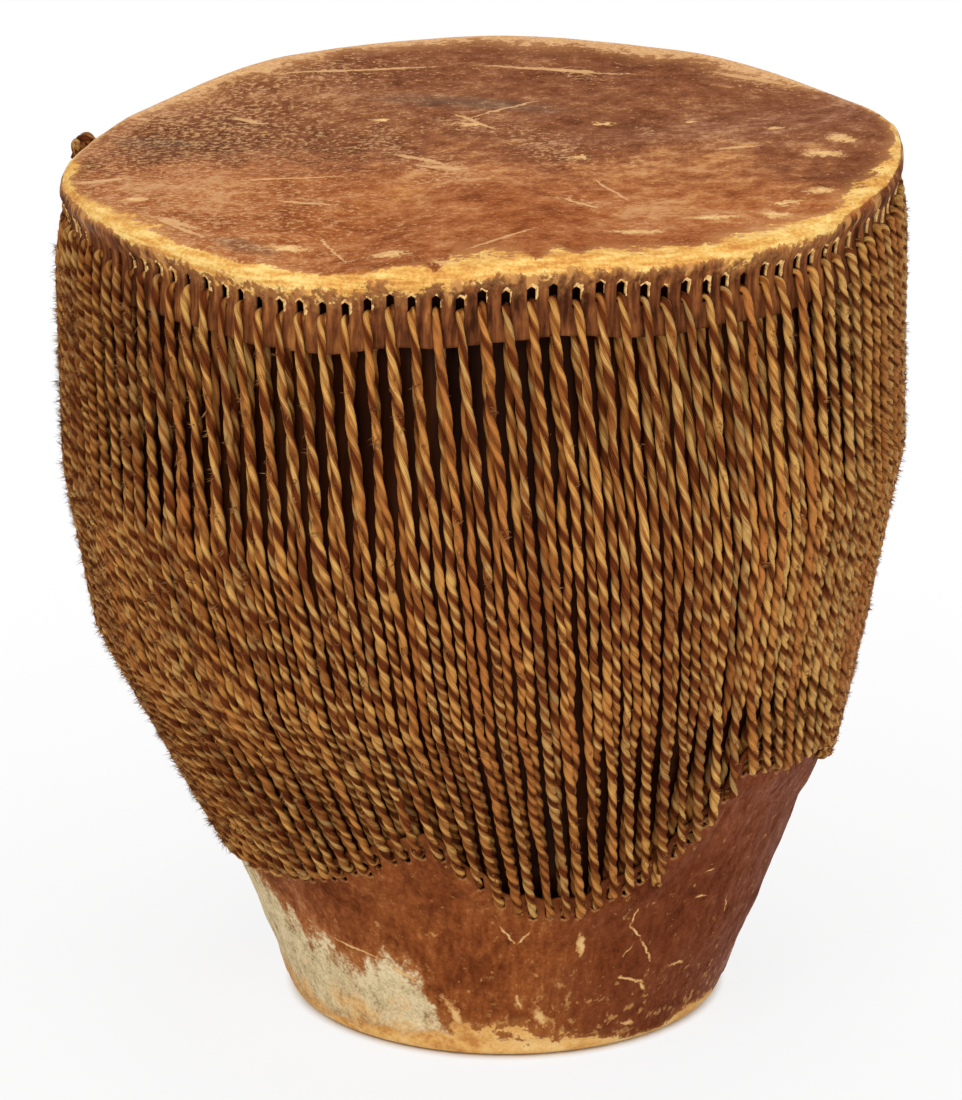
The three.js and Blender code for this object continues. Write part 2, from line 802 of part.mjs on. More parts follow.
const finishes = {
  shell_wood: { color: 0x4a2e1c, roughness: 0.8 },
  head_hide: { color: 0x96603f, roughness: 0.6 },
  foot_hide: { color: 0x7a4526, roughness: 0.7 },
  pale_thong: { color: 0xb98a50, roughness: 0.6 },
  dark_thong: { color: 0xa87a45, roughness: 0.6 },
  link_thong: { color: 0x9a6f3e, roughness: 0.6 },
  loop_rope: { color: 0x9c7442, roughness: 0.65 },
};

add_piece('wooden_shell', wooden_shell(), finishes.shell_wood);
add_piece('upper_skin', holed_upper_skin(), finishes.head_hide);
add_piece('lower_skin', lower_skin(), finishes.foot_hide);

let least = Infinity;
for (let k = 0; k < thongs; k += 1) {
  const stations = thong_stations(k);
  least = Math.min(least, least_gap(stations));
  const name = `lacing_thong_${String(k + 1).padStart(2, '0')}`;
  const finish = k % 2 ? finishes.pale_thong : finishes.dark_thong;
  add_piece(name, strand(stations).geometry(), finish);
}
console.log(`least gap of a thong to itself: ${least.toFixed(2)} mm`);

link_angles.forEach((angle, k) => {
  const name = k === 0 ? 'loop_link_left' : 'loop_link_back';
  add_piece(name, ring_tube(link_points(angle), link_wire / 2, wire_sides), finishes.link_thong);
});
add_piece('carry_loop', carry_loop(), finishes.loop_rope);

export default group;
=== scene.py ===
"""A hide-covered, laced drum around its CAD frame: twisted thongs, worn hides and a hanging loop."""

import math

import bpy
import numpy as np
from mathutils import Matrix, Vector


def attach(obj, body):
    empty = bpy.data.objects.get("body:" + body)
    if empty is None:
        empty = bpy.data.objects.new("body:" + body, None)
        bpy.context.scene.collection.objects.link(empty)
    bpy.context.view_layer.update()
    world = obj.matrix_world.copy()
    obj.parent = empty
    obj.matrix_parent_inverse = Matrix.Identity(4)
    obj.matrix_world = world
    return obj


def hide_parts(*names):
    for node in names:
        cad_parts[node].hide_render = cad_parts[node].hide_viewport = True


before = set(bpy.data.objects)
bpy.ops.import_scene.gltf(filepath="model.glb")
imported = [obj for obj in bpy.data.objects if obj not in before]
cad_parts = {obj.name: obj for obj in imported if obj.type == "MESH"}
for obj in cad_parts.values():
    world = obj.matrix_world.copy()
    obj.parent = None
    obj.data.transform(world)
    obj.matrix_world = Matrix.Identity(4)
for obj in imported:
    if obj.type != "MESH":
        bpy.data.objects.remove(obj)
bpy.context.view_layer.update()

MM = 0.001
TURN = 2 * math.pi

# Sizes of the CAD model, in mm
HEAD_HEIGHT = 420.0
BOWL_RADIUS = 198.0
FOOT_RADIUS = 107.8
BOWL_SHIFT = 11.0
HEAD_RISE_RIGHT = 6.1
HEAD_RISE_BACK = 11.0
RIM_WAVE_HEIGHT = 2.8
RIM_WAVE_DEPTH = 0.8
FOOT_CHAMFER = 7.0
NECK_RADIUS = 188.5
LIP_DEPTH = 5.5
LIP_HEIGHT = 8.6
HIDE = 2.0
ROLL_THICKNESS = 5.4
SKIRT_LENGTH = 36.0
UPPER_SLOT_DROP = 19.0
SLOT_HEIGHT = 7.2
UPPER_SLOT_WIDTH = 5.0
LOWER_SLOT_WIDTH = 4.6
LOWER_EDGE_MARGIN = 9.0
LOWER_SKIN_LIFT = 24.0
STRAND_THICKNESS = 4.4
SEAT_GAP = 0.4
HIDE_GAP = 0.6
SLOT_SCATTER = 1.6
EYE_WIRE = 4.6
EYE_RADIUS = 6.5
LOOP_DROP = 104.0
LOOP_BOW = 1.5
LINK_WIRE = 2.8
LINK_PLAY = 0.9
LINK_HEIGHT = 13.0
SLOTS = 120
THONGS = 24
RUNS = SLOTS // THONGS
PITCH = TURN / SLOTS
LEAN = 2.5
ROLL_RADIUS = NECK_RADIUS + LIP_DEPTH + HIDE_GAP + ROLL_THICKNESS

# Levels of the bowl: height and width as shares, how far drawn in to the neck, and how much of
# the axis shift, the head's tilt and the rim's wave is reached
BELLY = [
    (0, 0, 0, 0, 0, 0),
    (0.202, 0.663, 0, -0.17, 0, 0),
    (0.465, 0.924, 0, 1.05, 0.2, 0),
    (0.664, 1, 0, 1, 0.65, 0),
    (0.917, 1, 0.9, 1, 1, 1),
]
SHIFT, TILT, WAVE = 3, 4, 5

# The row of lower slots, as degrees round the drum and a share of HEAD_HEIGHT
LOWER_SLOT = [
    (0, 0.31), (20, 0.255), (40, 0.24), (60, 0.268), (80, 0.29), (100, 0.262),
    (120, 0.232), (140, 0.248), (160, 0.278), (180, 0.268), (196, 0.195), (208, 0.205),
    (226, 0.22), (236, 0.241), (244, 0.26), (252, 0.288), (259, 0.298), (265, 0.252),
    (271, 0.215), (277, 0.206), (283, 0.208), (290, 0.232), (297, 0.248), (303, 0.282),
    (308, 0.308), (313, 0.371), (318, 0.359), (324, 0.354), (332, 0.352), (345, 0.31),
]

# The rim's wave, as degrees and a share of its height and depth
RIM_WAVE = [
    (0, -1.4), (30, 0.9), (60, -1.1), (90, -2.4), (120, -2.3), (150, 0.6), (165, 1.4), (180, 0.7),
    (205, -0.7), (228, -0.7), (246, 0.7), (262, -1.3), (280, -2.2), (296, -0.4), (316, 0.4), (338, -0.1),
]


def arr(values):
    return np.asarray(values, float)


def unit(vectors):
    return vectors / np.linalg.norm(vectors, axis=-1, keepdims=True)


def outward(angle):
    return np.stack([np.cos(angle), np.sin(angle), 0 * angle], axis=-1)


def between(a, b, shares):
    """Rows at shares of the way from a to b."""
    return [a + (b - a) * share for share in shares]


def eased(t):
    return t * t * (3 - 2 * t)


def round_table(table, angle):
    """Value at an angle of a closed table of degrees and values, eased between entries."""
    degrees = np.degrees(arr(angle)) % 360
    at = arr([entry[0] for entry in table] + [table[0][0] + 360])
    value = arr([entry[1] for entry in table] + [table[0][1]])
    i = np.clip(np.searchsorted(at, degrees, side="right") - 1, 0, len(at) - 2)
    share = (degrees - at[i]) / (at[i + 1] - at[i])
    return value[i] + (value[i + 1] - value[i]) * (1 - np.cos(np.pi * share)) / 2


def scatter(index, row):
    """The CAD model's repeatable scatter between -1 and 1."""
    value = np.sin(arr(index) * 12.9898 + row * 78.233) * 43758.5453
    return 2 * (value - np.floor(value)) - 1


def reached(kind, height):
    share = arr(height) / HEAD_HEIGHT
    return np.interp(share, [level[0] for level in BELLY], [level[kind] for level in BELLY])


def place(radius, angle, height):
    """Points in mm of what is laid out round an upright axis, tilted and waved as the drum is."""
    radius, angle, height = np.broadcast_arrays(arr(radius), arr(angle), arr(height))
    out = radius / ROLL_RADIUS
    wave = out * round_table(RIM_WAVE, angle) * reached(WAVE, height)
    rise = HEAD_RISE_RIGHT * np.cos(angle) + HEAD_RISE_BACK * np.sin(angle)
    waved = radius + RIM_WAVE_DEPTH * wave
    return np.stack([
        waved * np.cos(angle) - BOWL_SHIFT * reached(SHIFT, height),
        waved * np.sin(angle),
        height + out * rise * reached(TILT, height) - RIM_WAVE_HEIGHT * wave,
    ], axis=-1)


# The outside of the wood as radius and height, from the foot up
SHELL_BOTTOM = HIDE + SEAT_GAP
NECK_TOP = HEAD_HEIGHT - HIDE - SEAT_GAP - LIP_HEIGHT
SHELL = arr([
    (FOOT_RADIUS - FOOT_CHAMFER, SHELL_BOTTOM),
    (FOOT_RADIUS, SHELL_BOTTOM + FOOT_CHAMFER),
    *[(b[1] * BOWL_RADIUS + b[2] * (NECK_RADIUS - BOWL_RADIUS), b[0] * HEAD_HEIGHT) for b in BELLY[1:]],
    (NECK_RADIUS, NECK_TOP),
])
SHELL_R, SHELL_H = SHELL.T


def shell_radius(height):
    return np.interp(arr(height), SHELL_H, SHELL_R)


def slope_factor(height):
    """How much longer a distance off the wood is when measured level."""
    i = np.clip(np.searchsorted(SHELL_H, arr(height), side="left"), 1, len(SHELL_H) - 1)
    return np.hypot(1, (SHELL_R[i] - SHELL_R[i - 1]) / (SHELL_H[i] - SHELL_H[i - 1]))


def off_wood(height, distance):
    return shell_radius(height) + distance * slope_factor(height)


def on_line(a, b, height):
    return a[0] + (b[0] - a[0]) * (height - a[1]) / (b[1] - a[1])


# Stations of the strands as radius and height, and what the skirt takes from them
HALF_STRAND = STRAND_THICKNESS / 2
UNDER_STRAND = SEAT_GAP + HALF_STRAND
UPPER_ROW = HEAD_HEIGHT - UPPER_SLOT_DROP
SKIRT_FOOT = HEAD_HEIGHT - SKIRT_LENGTH
MEAN_SLOT = LOWER_SLOT[0][1] * HEAD_HEIGHT
KNEE, LOWER_STATION, UPPER_STATION, SHOULDER = [
    (float(off_wood(b[0] * HEAD_HEIGHT, UNDER_STRAND)), b[0] * HEAD_HEIGHT) for b in BELLY[1:]
]


def upper_turning(height):
    return np.maximum(off_wood(height, UNDER_STRAND), on_line(UPPER_STATION, SHOULDER, height))


def lower_turning(height):
    return np.maximum(off_wood(height, UNDER_STRAND), on_line(LOWER_STATION, KNEE, height))


TOP_TURN = float(upper_turning(UPPER_ROW))
SKIRT_SLOT_INSIDE = TOP_TURN + HALF_STRAND + HIDE_GAP
SKIRT_FOOT_INSIDE = (
    float(on_line(UPPER_STATION, (TOP_TURN, UPPER_ROW), SKIRT_FOOT))
    + HALF_STRAND + HIDE_GAP + SEAT_GAP
)
SKIRT_FOOT_OUTSIDE = SKIRT_FOOT_INSIDE + HIDE + UNDER_STRAND
UPPER_TURN = SKIRT_SLOT_INSIDE + HIDE + UNDER_STRAND


def upper_angle(k):
    return PITCH * arr(k) + SLOT_SCATTER / 2 * scatter(k, 1) / ROLL_RADIUS


def lower_angle(k):
    return PITCH * (arr(k) + LEAN) + SLOT_SCATTER / 2 * scatter(k, 2) / ROLL_RADIUS


def upper_slot(k):
    return UPPER_ROW + SLOT_SCATTER * scatter(k, 3)


def row_height(angle):
    return HEAD_HEIGHT * round_table(LOWER_SLOT, angle)


def lower_slot(k):
    return row_height(lower_angle(k)) + SLOT_SCATTER * scatter(k, 4)


def lane(k, height):
    """Angle of a leaning outer strand at a height."""
    return PITCH * (k + LEAN * (UPPER_ROW - height) / (UPPER_ROW - MEAN_SLOT))


def cuff_radius(angle, height, distance):
    """Radius of what lies a distance outside the lower hide's inside, over the inner strands."""
    slot = row_height(angle)
    t = (arr(height) - slot) / (LOWER_STATION[1] - slot)
    strand = lower_turning(slot) + (LOWER_STATION[0] - lower_turning(slot)) * t
    inner = np.maximum(strand, off_wood(height, UNDER_STRAND))
    return inner + (HALF_STRAND + HIDE_GAP + distance) * slope_factor(height)


def landing_radius(angle, height):
    """Radius where a strand reaches its lower slot, past the hide's edge."""
    edge = height + LOWER_EDGE_MARGIN
    over = cuff_radius(angle, edge, HIDE + UNDER_STRAND)
    past = over + (LOWER_STATION[0] - over) * (height - edge) / (LOWER_STATION[1] - edge)
    return max(float(past), float(cuff_radius(angle, height, HIDE + UNDER_STRAND)))


# The camera stands as the photograph's did
CAMERA_TILT = math.radians(17.48)
CAMERA_DISTANCE = 2.3
LOOK_AT = Vector((-0.0119, 0.0, 0.2216))
FOCAL_PIXELS = 4720
LONG_SIDE = 1100
SENSOR = 36.0


def add_object(name, data):
    added = bpy.data.objects.new(name, data)
    bpy.context.scene.collection.objects.link(added)
    return added


def aim(thing, at, target):
    thing.location = at
    thing.rotation_mode = "QUATERNION"
    thing.rotation_quaternion = (Vector(target) - Vector(at)).to_track_quat("-Z", "Y")


camera_data = bpy.data.cameras.new("camera")
camera_data.sensor_width = SENSOR
camera_data.sensor_fit = "AUTO"
camera_data.lens = FOCAL_PIXELS / LONG_SIDE * SENSOR
camera_data.clip_start = 0.05
camera_data.clip_end = 60
camera = add_object("camera", camera_data)
back = Vector((0, -math.cos(CAMERA_TILT), math.sin(CAMERA_TILT)))
aim(camera, LOOK_AT + back * CAMERA_DISTANCE, LOOK_AT)
bpy.context.scene.camera = camera
bpy.context.scene.view_settings.view_transform = "Standard"


def make_mesh(name, points, faces, values=None):
    """A mesh object from points in mm, lists of same-sided faces and point values."""
    mesh = bpy.data.meshes.new(name)
    points = arr(points).reshape(-1, 3) * MM
    faces = [np.asarray(kind, np.int64) for kind in faces]
    loops = np.concatenate([kind.ravel() for kind in faces])
    sizes = np.concatenate([np.full(len(kind), kind.shape[1]) for kind in faces])
    starts = np.concatenate([[0], np.cumsum(sizes)[:-1]])
    mesh.vertices.add(len(points))
    mesh.vertices.foreach_set("co", points.astype(np.float32).ravel())
    mesh.loops.add(len(loops))
    mesh.loops.foreach_set("vertex_index", loops.astype(np.int32))
    mesh.polygons.add(len(sizes))
    mesh.polygons.foreach_set("loop_start", starts.astype(np.int32))
    mesh.polygons.foreach_set("use_smooth", np.full(len(sizes), True))
    mesh.update(calc_edges=True)
    for key, value in (values or {}).items():
        data = mesh.attributes.new(key, "FLOAT", "POINT")
        data.data.foreach_set("value", arr(value).astype(np.float32).ravel())
    mesh.validate()
    return add_object(name, mesh)


def soft_noise(points, size, seed):
    """Smooth noise from -1 to 1 at points, with features about size across."""
    rng = np.random.default_rng(seed)
    total = np.zeros(len(points))
    weight = 0.0
    for octave in range(3):
        scale = TURN / size * 1.9 ** octave
        for _ in range(5):
            direction = rng.normal(size=3)
            direction *= scale * rng.uniform(0.5, 1.0) / np.linalg.norm(direction)
            amount = 0.6 ** octave
            total += amount * np.sin(points @ direction + rng.uniform(0, TURN))
            weight += amount * 0.5
    return np.clip(total / weight * 1.2, -1, 1)


def run_length(points):
    """Length of a polyline up to each of its points."""
    return np.concatenate([[0], np.cumsum(np.linalg.norm(np.diff(points, axis=0), axis=1))])


def points_at(points, at):
    length = run_length(points)
    return np.stack([np.interp(at, length, points[:, i]) for i in range(3)], axis=1)


def even(points, step):
    """A polyline resampled at an even step, both ends kept."""
    length = run_length(points)[-1]
    return points_at(points, np.linspace(0, length, max(int(round(length / step)), 2) + 1))


def smoothed(points, width, step):
    """A polyline resampled at a step and rounded over a width, its ends kept."""
    fine = step / 2
    at = np.arange(0, run_length(points)[-1], fine)
    line = points_at(points, at)
    reach = int(3 * width / fine)
    kernel = np.exp(-0.5 * (np.arange(-reach, reach + 1) * fine / width) ** 2)
    kernel /= kernel.sum()
    first = 2 * line[0] - line[1:reach + 1][::-1]
    last = 2 * line[-1] - line[-reach - 1:-1][::-1]
    padded = np.concatenate([first, line, last])
    out = np.stack([np.convolve(padded[:, i], kernel, mode="valid") for i in range(3)], axis=1)
    return out[::2], at[::2]


def transported(line):
    """Two directions across a line, carried along it without turning about it."""
    tangent = unit(np.gradient(line, axis=0))
    start = np.array([line[0][0], line[0][1], 0.0])
    start -= tangent[0] * (start @ tangent[0])
    normal = np.empty_like(line)
    normal[0] = unit(start)
    for i in range(1, len(line)):
        n = normal[i - 1] - tangent[i] * (normal[i - 1] @ tangent[i])
        normal[i] = n / math.sqrt(n @ n)
    return normal, np.cross(normal, tangent)


def joined(ring, other):
    """Quads between two rings of as many points."""
    return np.stack([ring, np.roll(ring, -1), np.roll(other, -1), other], axis=1)


def fan(ring, tip):
    """Triangles from a ring to one point."""
    return np.stack([ring, np.roll(ring, -1), np.full(len(ring), tip)], axis=1)


def swept(line, profile, twist, size):
    """Points and faces of a closed tube: a section swept along a line, turned and sized."""
    normal, side = transported(line)
    sides = len(profile)
    angle = TURN * np.arange(sides) / sides + arr(twist)[:, None]
    radius = arr(profile) * size[:, None]
    points = (
        line[:, None]
        + normal[:, None] * (radius * np.cos(angle))[..., None]
        + side[:, None] * (radius * np.sin(angle))[..., None]
    ).reshape(-1, 3)
    count = len(points)
    ring = np.arange(count).reshape(-1, sides)
    here, after = ring[:-1], ring[1:]
    quads = np.stack([here, np.roll(here, -1, 1), np.roll(after, -1, 1), after], axis=-1).reshape(-1, 4)
    ends = np.vstack([fan(ring[0], count)[:, [1, 0, 2]], fan(ring[-1], count + 1)])
    return np.vstack([points, points[ring[[0, -1]]].mean(1)]), quads, ends


def stitched(fine, coarse):
    """Triangles between a ring and one of half as many points inside it."""
    f0, f1, f2 = fine[0::2], fine[1::2], np.roll(fine[0::2], -1)
    c0, c1 = coarse, np.roll(coarse, -1)
    return np.vstack([np.stack(corners, 1) for corners in ((f0, f1, c0), (f1, c1, c0), (f1, f2, c1))])


def rgb(*colour):
    """Linear colour of an sRGB colour given in 0 to 255."""
    shares = [part / 255 for part in colour]
    return (*(v / 12.92 if v <= 0.04045 else ((v + 0.055) / 1.055) ** 2.4 for v in shares), 1.0)


class Value:
    """A number on its way through a look, with the usual arithmetic."""

    def __init__(self, look, socket):
        self.look = look
        self.socket = socket

    def __add__(self, other):
        return self.look.math("ADD", self, other)

    def __sub__(self, other):
        return self.look.math("SUBTRACT", self, other)

    def __mul__(self, other):
        return self.look.math("MULTIPLY", self, other)

    def __abs__(self):
        return self.look.math("ABSOLUTE", self)


class Look:
    """The nodes of a material or world, written as expressions."""

    def __init__(self, holder, output="ShaderNodeOutputMaterial"):
        self.holder = holder
        holder.use_nodes = True
        self.tree = holder.node_tree
        self.tree.nodes.clear()
        self.out = self.tree.nodes.new(output)

    def put(self, socket, value):
        """Link a value to a socket, or set it where it is a plain number, vector or colour."""
        if isinstance(value, Value):
            value = value.socket
        if isinstance(value, bpy.types.NodeSocket):
            self.tree.links.new(value, socket)
        else:
            socket.default_value = value

    def node(self, kind, inputs=None, **settings):
        """A node with its settings, and its inputs by name or number."""
        node = self.tree.nodes.new(kind)
        for key, value in settings.items():
            setattr(node, key, value)
        for key, value in (inputs or {}).items():
            self.put(node.inputs[key], value)
        return node

    def math(self, operation, a, b=0.0):
        return Value(self, self.node("ShaderNodeMath", {0: a, 1: b}, operation=operation).outputs[0])

    def vector_math(self, operation, inputs, output="Vector"):
        return self.node("ShaderNodeVectorMath", inputs, operation=operation).outputs[output]

    def value(self, name):
        return Value(self, self.node("ShaderNodeAttribute", attribute_name=name).outputs["Fac"])

    def place(self):
        return self.node("ShaderNodeTexCoord").outputs["Object"]

    def noise(self, vector, scale, detail, rough, distort=0.0):
        return Value(self, self.node("ShaderNodeTexNoise", {
            "Vector": vector, "Scale": scale, "Detail": detail, "Roughness": rough,
            "Distortion": distort,
        }).outputs["Fac"])

    def grain(self, scale, detail, rough, turn=(0, 0, 0), size=1.0, distort=0.0):
        """Noise drawn out along an axis."""
        node = self.node("ShaderNodeMapping", {"Vector": self.place(), "Scale": scale, "Rotation": turn})
        return self.noise(node.outputs[0], size, detail, rough, distort)

    def step(self, value, low, high, shape="SMOOTHSTEP"):
        """0 below low and 1 above high; with low above high it falls instead."""
        start, end = (1.0, 0.0) if low > high else (0.0, 1.0)
        return Value(self, self.node("ShaderNodeMapRange", {
            "Value": value, "From Min": min(low, high), "From Max": max(low, high),
            "To Min": start, "To Max": end,
        }, interpolation_type=shape).outputs["Result"])

    def mix(self, share, a, b):
        node = self.node("ShaderNodeMix", {"Factor": share, "A": a, "B": b}, data_type="RGBA")
        return node.outputs["Result"]

    def over(self, colour, other, value, low, high, amount=1):
        """A colour with another laid over it where a value goes from low to high."""
        share = self.step(value, low, high)
        return self.mix(share if amount == 1 else share * amount, colour, other)

    def ramp(self, value, *stops):
        """A colour of stops, each a place from 0 to 1 and an sRGB colour."""
        node = self.node("ShaderNodeValToRGB", {0: value})
        elements = node.color_ramp.elements
        while len(elements) < len(stops):
            elements.new(0.5)
        for element, (at, *colour) in zip(elements, stops):
            element.position = at
            element.color = rgb(*colour)
        return node.outputs["Color"]

    def combine(self, *parts):
        return self.node("ShaderNodeCombineXYZ", dict(enumerate(parts))).outputs[0]

    def split(self, vector):
        node = self.node("ShaderNodeSeparateXYZ", {0: vector})
        return [Value(self, part) for part in node.outputs]

    def total(self, start, *terms):
        """A number plus each value times its weight, taken about a half."""
        for value, weight in terms:
            start = self.math("ADD", start, self.math("SUBTRACT", value, 0.5) * weight)
        return start

    def warped(self, vector, scale, amount):
        """A place on a chart shifted about by noise."""
        node = self.node("ShaderNodeTexNoise", {"Vector": self.place(), "Scale": scale, "Detail": 3})
        offset = self.vector_math("SUBTRACT", {0: node.outputs["Color"], 1: (0.5, 0.5, 0.5)})
        offset = self.vector_math("SCALE", {0: offset, "Scale": amount})
        return self.vector_math("ADD", {0: vector, 1: offset})

    def marks(self, chart, shapes):
        """How far into the nearest of some straight marks a place on a flat chart is: under 1
        is inside. A mark is its two ends and its half width in mm."""
        nearest = None
        for x1, y1, x2, y2, half in shapes:
            reach = math.hypot(x2 - x1, y2 - y1) / 2 + half
            node = self.node("ShaderNodeMapping", {
                "Vector": chart,
                "Location": ((x1 + x2) / 2 * MM, (y1 + y2) / 2 * MM, 0),
                "Rotation": (0, 0, math.atan2(y2 - y1, x2 - x1)),
                "Scale": (reach * MM, half * MM, 1),
            }, vector_type="TEXTURE")
            distance = self.vector_math("LENGTH", {0: node.outputs[0]}, "Value")
            nearest = distance if nearest is None else self.math("MINIMUM", nearest, distance)
        return nearest

    def bump(self, height, distance, strength):
        inputs = {"Height": height, "Distance": distance, "Strength": strength}
        return self.node("ShaderNodeBump", inputs).outputs[0]

    def hide(self, colour, roughness, normal, gloss):
        """End in a dull surface."""
        return self.end(self.node("ShaderNodeBsdfPrincipled", {
            "Base Color": colour, "Roughness": roughness, "Normal": normal, "Specular IOR Level": gloss,
        }).outputs[0])

    def seen_as(self, share, real, seen):
        """End in one shader for the light, and in another for what the camera sees, straight or
        mirrored or through glass."""
        ray = self.node("ShaderNodeLightPath").outputs
        mirrored = self.math("MAXIMUM", ray["Is Glossy Ray"], ray["Is Transmission Ray"])
        camera_ray = self.math("MAXIMUM", ray["Is Camera Ray"], mirrored)
        share = camera_ray if share is None else camera_ray * share
        return self.end(self.node("ShaderNodeMixShader", {0: share, 1: real, 2: seen}).outputs[0])

    def end(self, shader):
        self.tree.links.new(shader, self.out.inputs["Surface"])
        return self.holder


def dress(piece, material):
    piece.data.materials.clear()
    piece.data.materials.append(material)


# The lacing: a thong's section of two plies, and its one turn in STRAND_TWIST mm before the twist
# is tightened. A zigzag has LEGS legs, of which the first three go up behind the hides.
STRAND_STEP = 0.9
STRAND_PROFILE = [2.24, 2.16, 1.88, 1.46, 1.8, 2.1, 2.2, 2.12, 1.84, 1.42, 1.82, 2.12]
STRAND_TWIST = 33.0
STRAND_ROUNDING = 1.5
EXIT_DROP = 1.4
LEGS = 9


class ThongMesh:
    """One mesh gathered from two-ply thongs, with the values that their material reads."""

    def __init__(self):
        self.points, self.quads, self.ends = [], [], []
        self.values = {"ply_cos": [], "ply_sin": [], "along": [], "tone": []}
        self.count = 0

    def add(self, line, twist, size, along, tone):
        """A thong on a middle line in mm, with its turn, size and values at the line's points."""
        size, tone = np.broadcast_to(size, len(line)), np.broadcast_to(tone, len(line))
        points, quads, ends = swept(line, STRAND_PROFILE, twist, size)
        self.points.append(points)
        self.quads.append(quads + self.count)
        self.ends.append(ends + self.count)
        self.count += len(points)
        sides = len(STRAND_PROFILE)
        turn = TURN * np.arange(sides) / sides
        around = [np.tile(np.cos(turn), len(line)), np.tile(np.sin(turn), len(line))]
        lengthwise = [np.repeat(along, sides), np.repeat(tone, sides)]
        for gathered, value in zip(self.values.values(), around + lengthwise):
            gathered.append(np.append(value, value[[0, -1]]))

    def strand(self, line, size, lay, tone, start):
        """A thong with an even lay in mm, its size a share of a lacing thong's."""
        length = run_length(line)
        self.add(line, start + length / lay * TURN, size, length * MM + start * 3.1, tone)

    def finish(self, name, material):
        faces = [np.vstack(self.quads), np.vstack(self.ends)]
        values = {key: np.concatenate(value) for key, value in self.values.items()}
        piece = make_mesh(name, np.vstack(self.points), faces, values)
        dress(piece, material)
        return piece


def lacing_pitch(k, first):
    """Stations of one zigzag as angle, radius and height: up behind the hides and down outside."""
    before = k - 1
    f, s = before % SLOTS, k % SLOTS
    start, high, end = float(lower_slot(f)), float(upper_slot(s)), float(lower_slot(s))
    low = start + (STRAND_THICKNESS if first else 0)
    turns = TURN * math.floor(before / SLOTS)
    from_angle = float(lower_angle(f)) + turns
    up_angle, to_angle = float(upper_angle(s)), float(lower_angle(s))
    half = PITCH / 2
    return [
        (from_angle, float(lower_turning(low)), low),
        (lane(before, LOWER_STATION[1]) + half, *LOWER_STATION),
        (lane(before, UPPER_STATION[1]) + half, *UPPER_STATION),
        (up_angle, float(upper_turning(high)), high),
        (up_angle, UPPER_TURN, high),
        (lane(k, SKIRT_FOOT), SKIRT_FOOT_OUTSIDE, SKIRT_FOOT),
        (lane(k, UPPER_STATION[1]), *UPPER_STATION),
        (lane(k, LOWER_STATION[1]), *LOWER_STATION),
        (to_angle, landing_radius(to_angle, end), end),
    ]


def thong_route(index):
    """The route of one thong as angle, radius and height, and the leg that each point is on."""
    first = index * RUNS
    stations = []
    for run in range(RUNS):
        stations += lacing_pitch(first + run, run == 0)
    last = (first + RUNS - 1) % SLOTS
    end = float(lower_slot(last))
    stations.append((float(lower_angle(last)), float(lower_turning(end)), end))
    s = arr(stations)
    # a strand leaves its upper slot at the slot's foot, so that the slot shows above it
    for run in range(RUNS):
        s[LEGS * run + 3:LEGS * run + 5, 2] -= EXIT_DROP
    dense, leg = [], []
    for i, (a, b) in enumerate(zip(s[:-1], s[1:])):
        reach = max(abs(b[2] - a[2]), abs(b[1] - a[1]), 1.0)
        steps = max(int(reach / 2), 2)
        dense.append(a + (b - a) * np.arange(steps)[:, None] / steps)
        leg += [i] * steps
    return np.vstack([*dense, s[-1:]]), arr(leg + [len(s) - 2])


def strand_wander(route, leg, index):
    """Side and outward wander of a thong's strands in mm: none where they turn."""
    rng = np.random.default_rng(900 + index)
    side, out = np.zeros(len(route)), np.zeros(len(route))
    part = leg % LEGS
    for run in range(RUNS):
        for outer, mask in enumerate((part < 3, (part >= 4) & (part < 8))):
            here = mask & (leg // LEGS == run)
            h = route[here, 2]
            t = (h - h.min()) / (h.max() - h.min())
            window = np.clip(np.minimum(t / 0.1, (1 - t) / 0.1), 0, 1) ** 0.7
            drift = rng.normal(0, 0.45) * np.sin(np.pi * t)
            wave = sum(
                rng.normal(0, 0.26) * np.sin(TURN * t * f + rng.uniform(0, TURN))
                for f in (1.2, 2.3, 3.9, 6.1)
            )
            side[here] = (drift + wave) * window
            lift = rng.uniform(0.0, 0.7) if outer else -rng.uniform(0.0, 0.9)
            out[here] = (lift + 0.25 * np.sin(TURN * t * 2.1 + rng.uniform(0, TURN))) * window
    return side, out


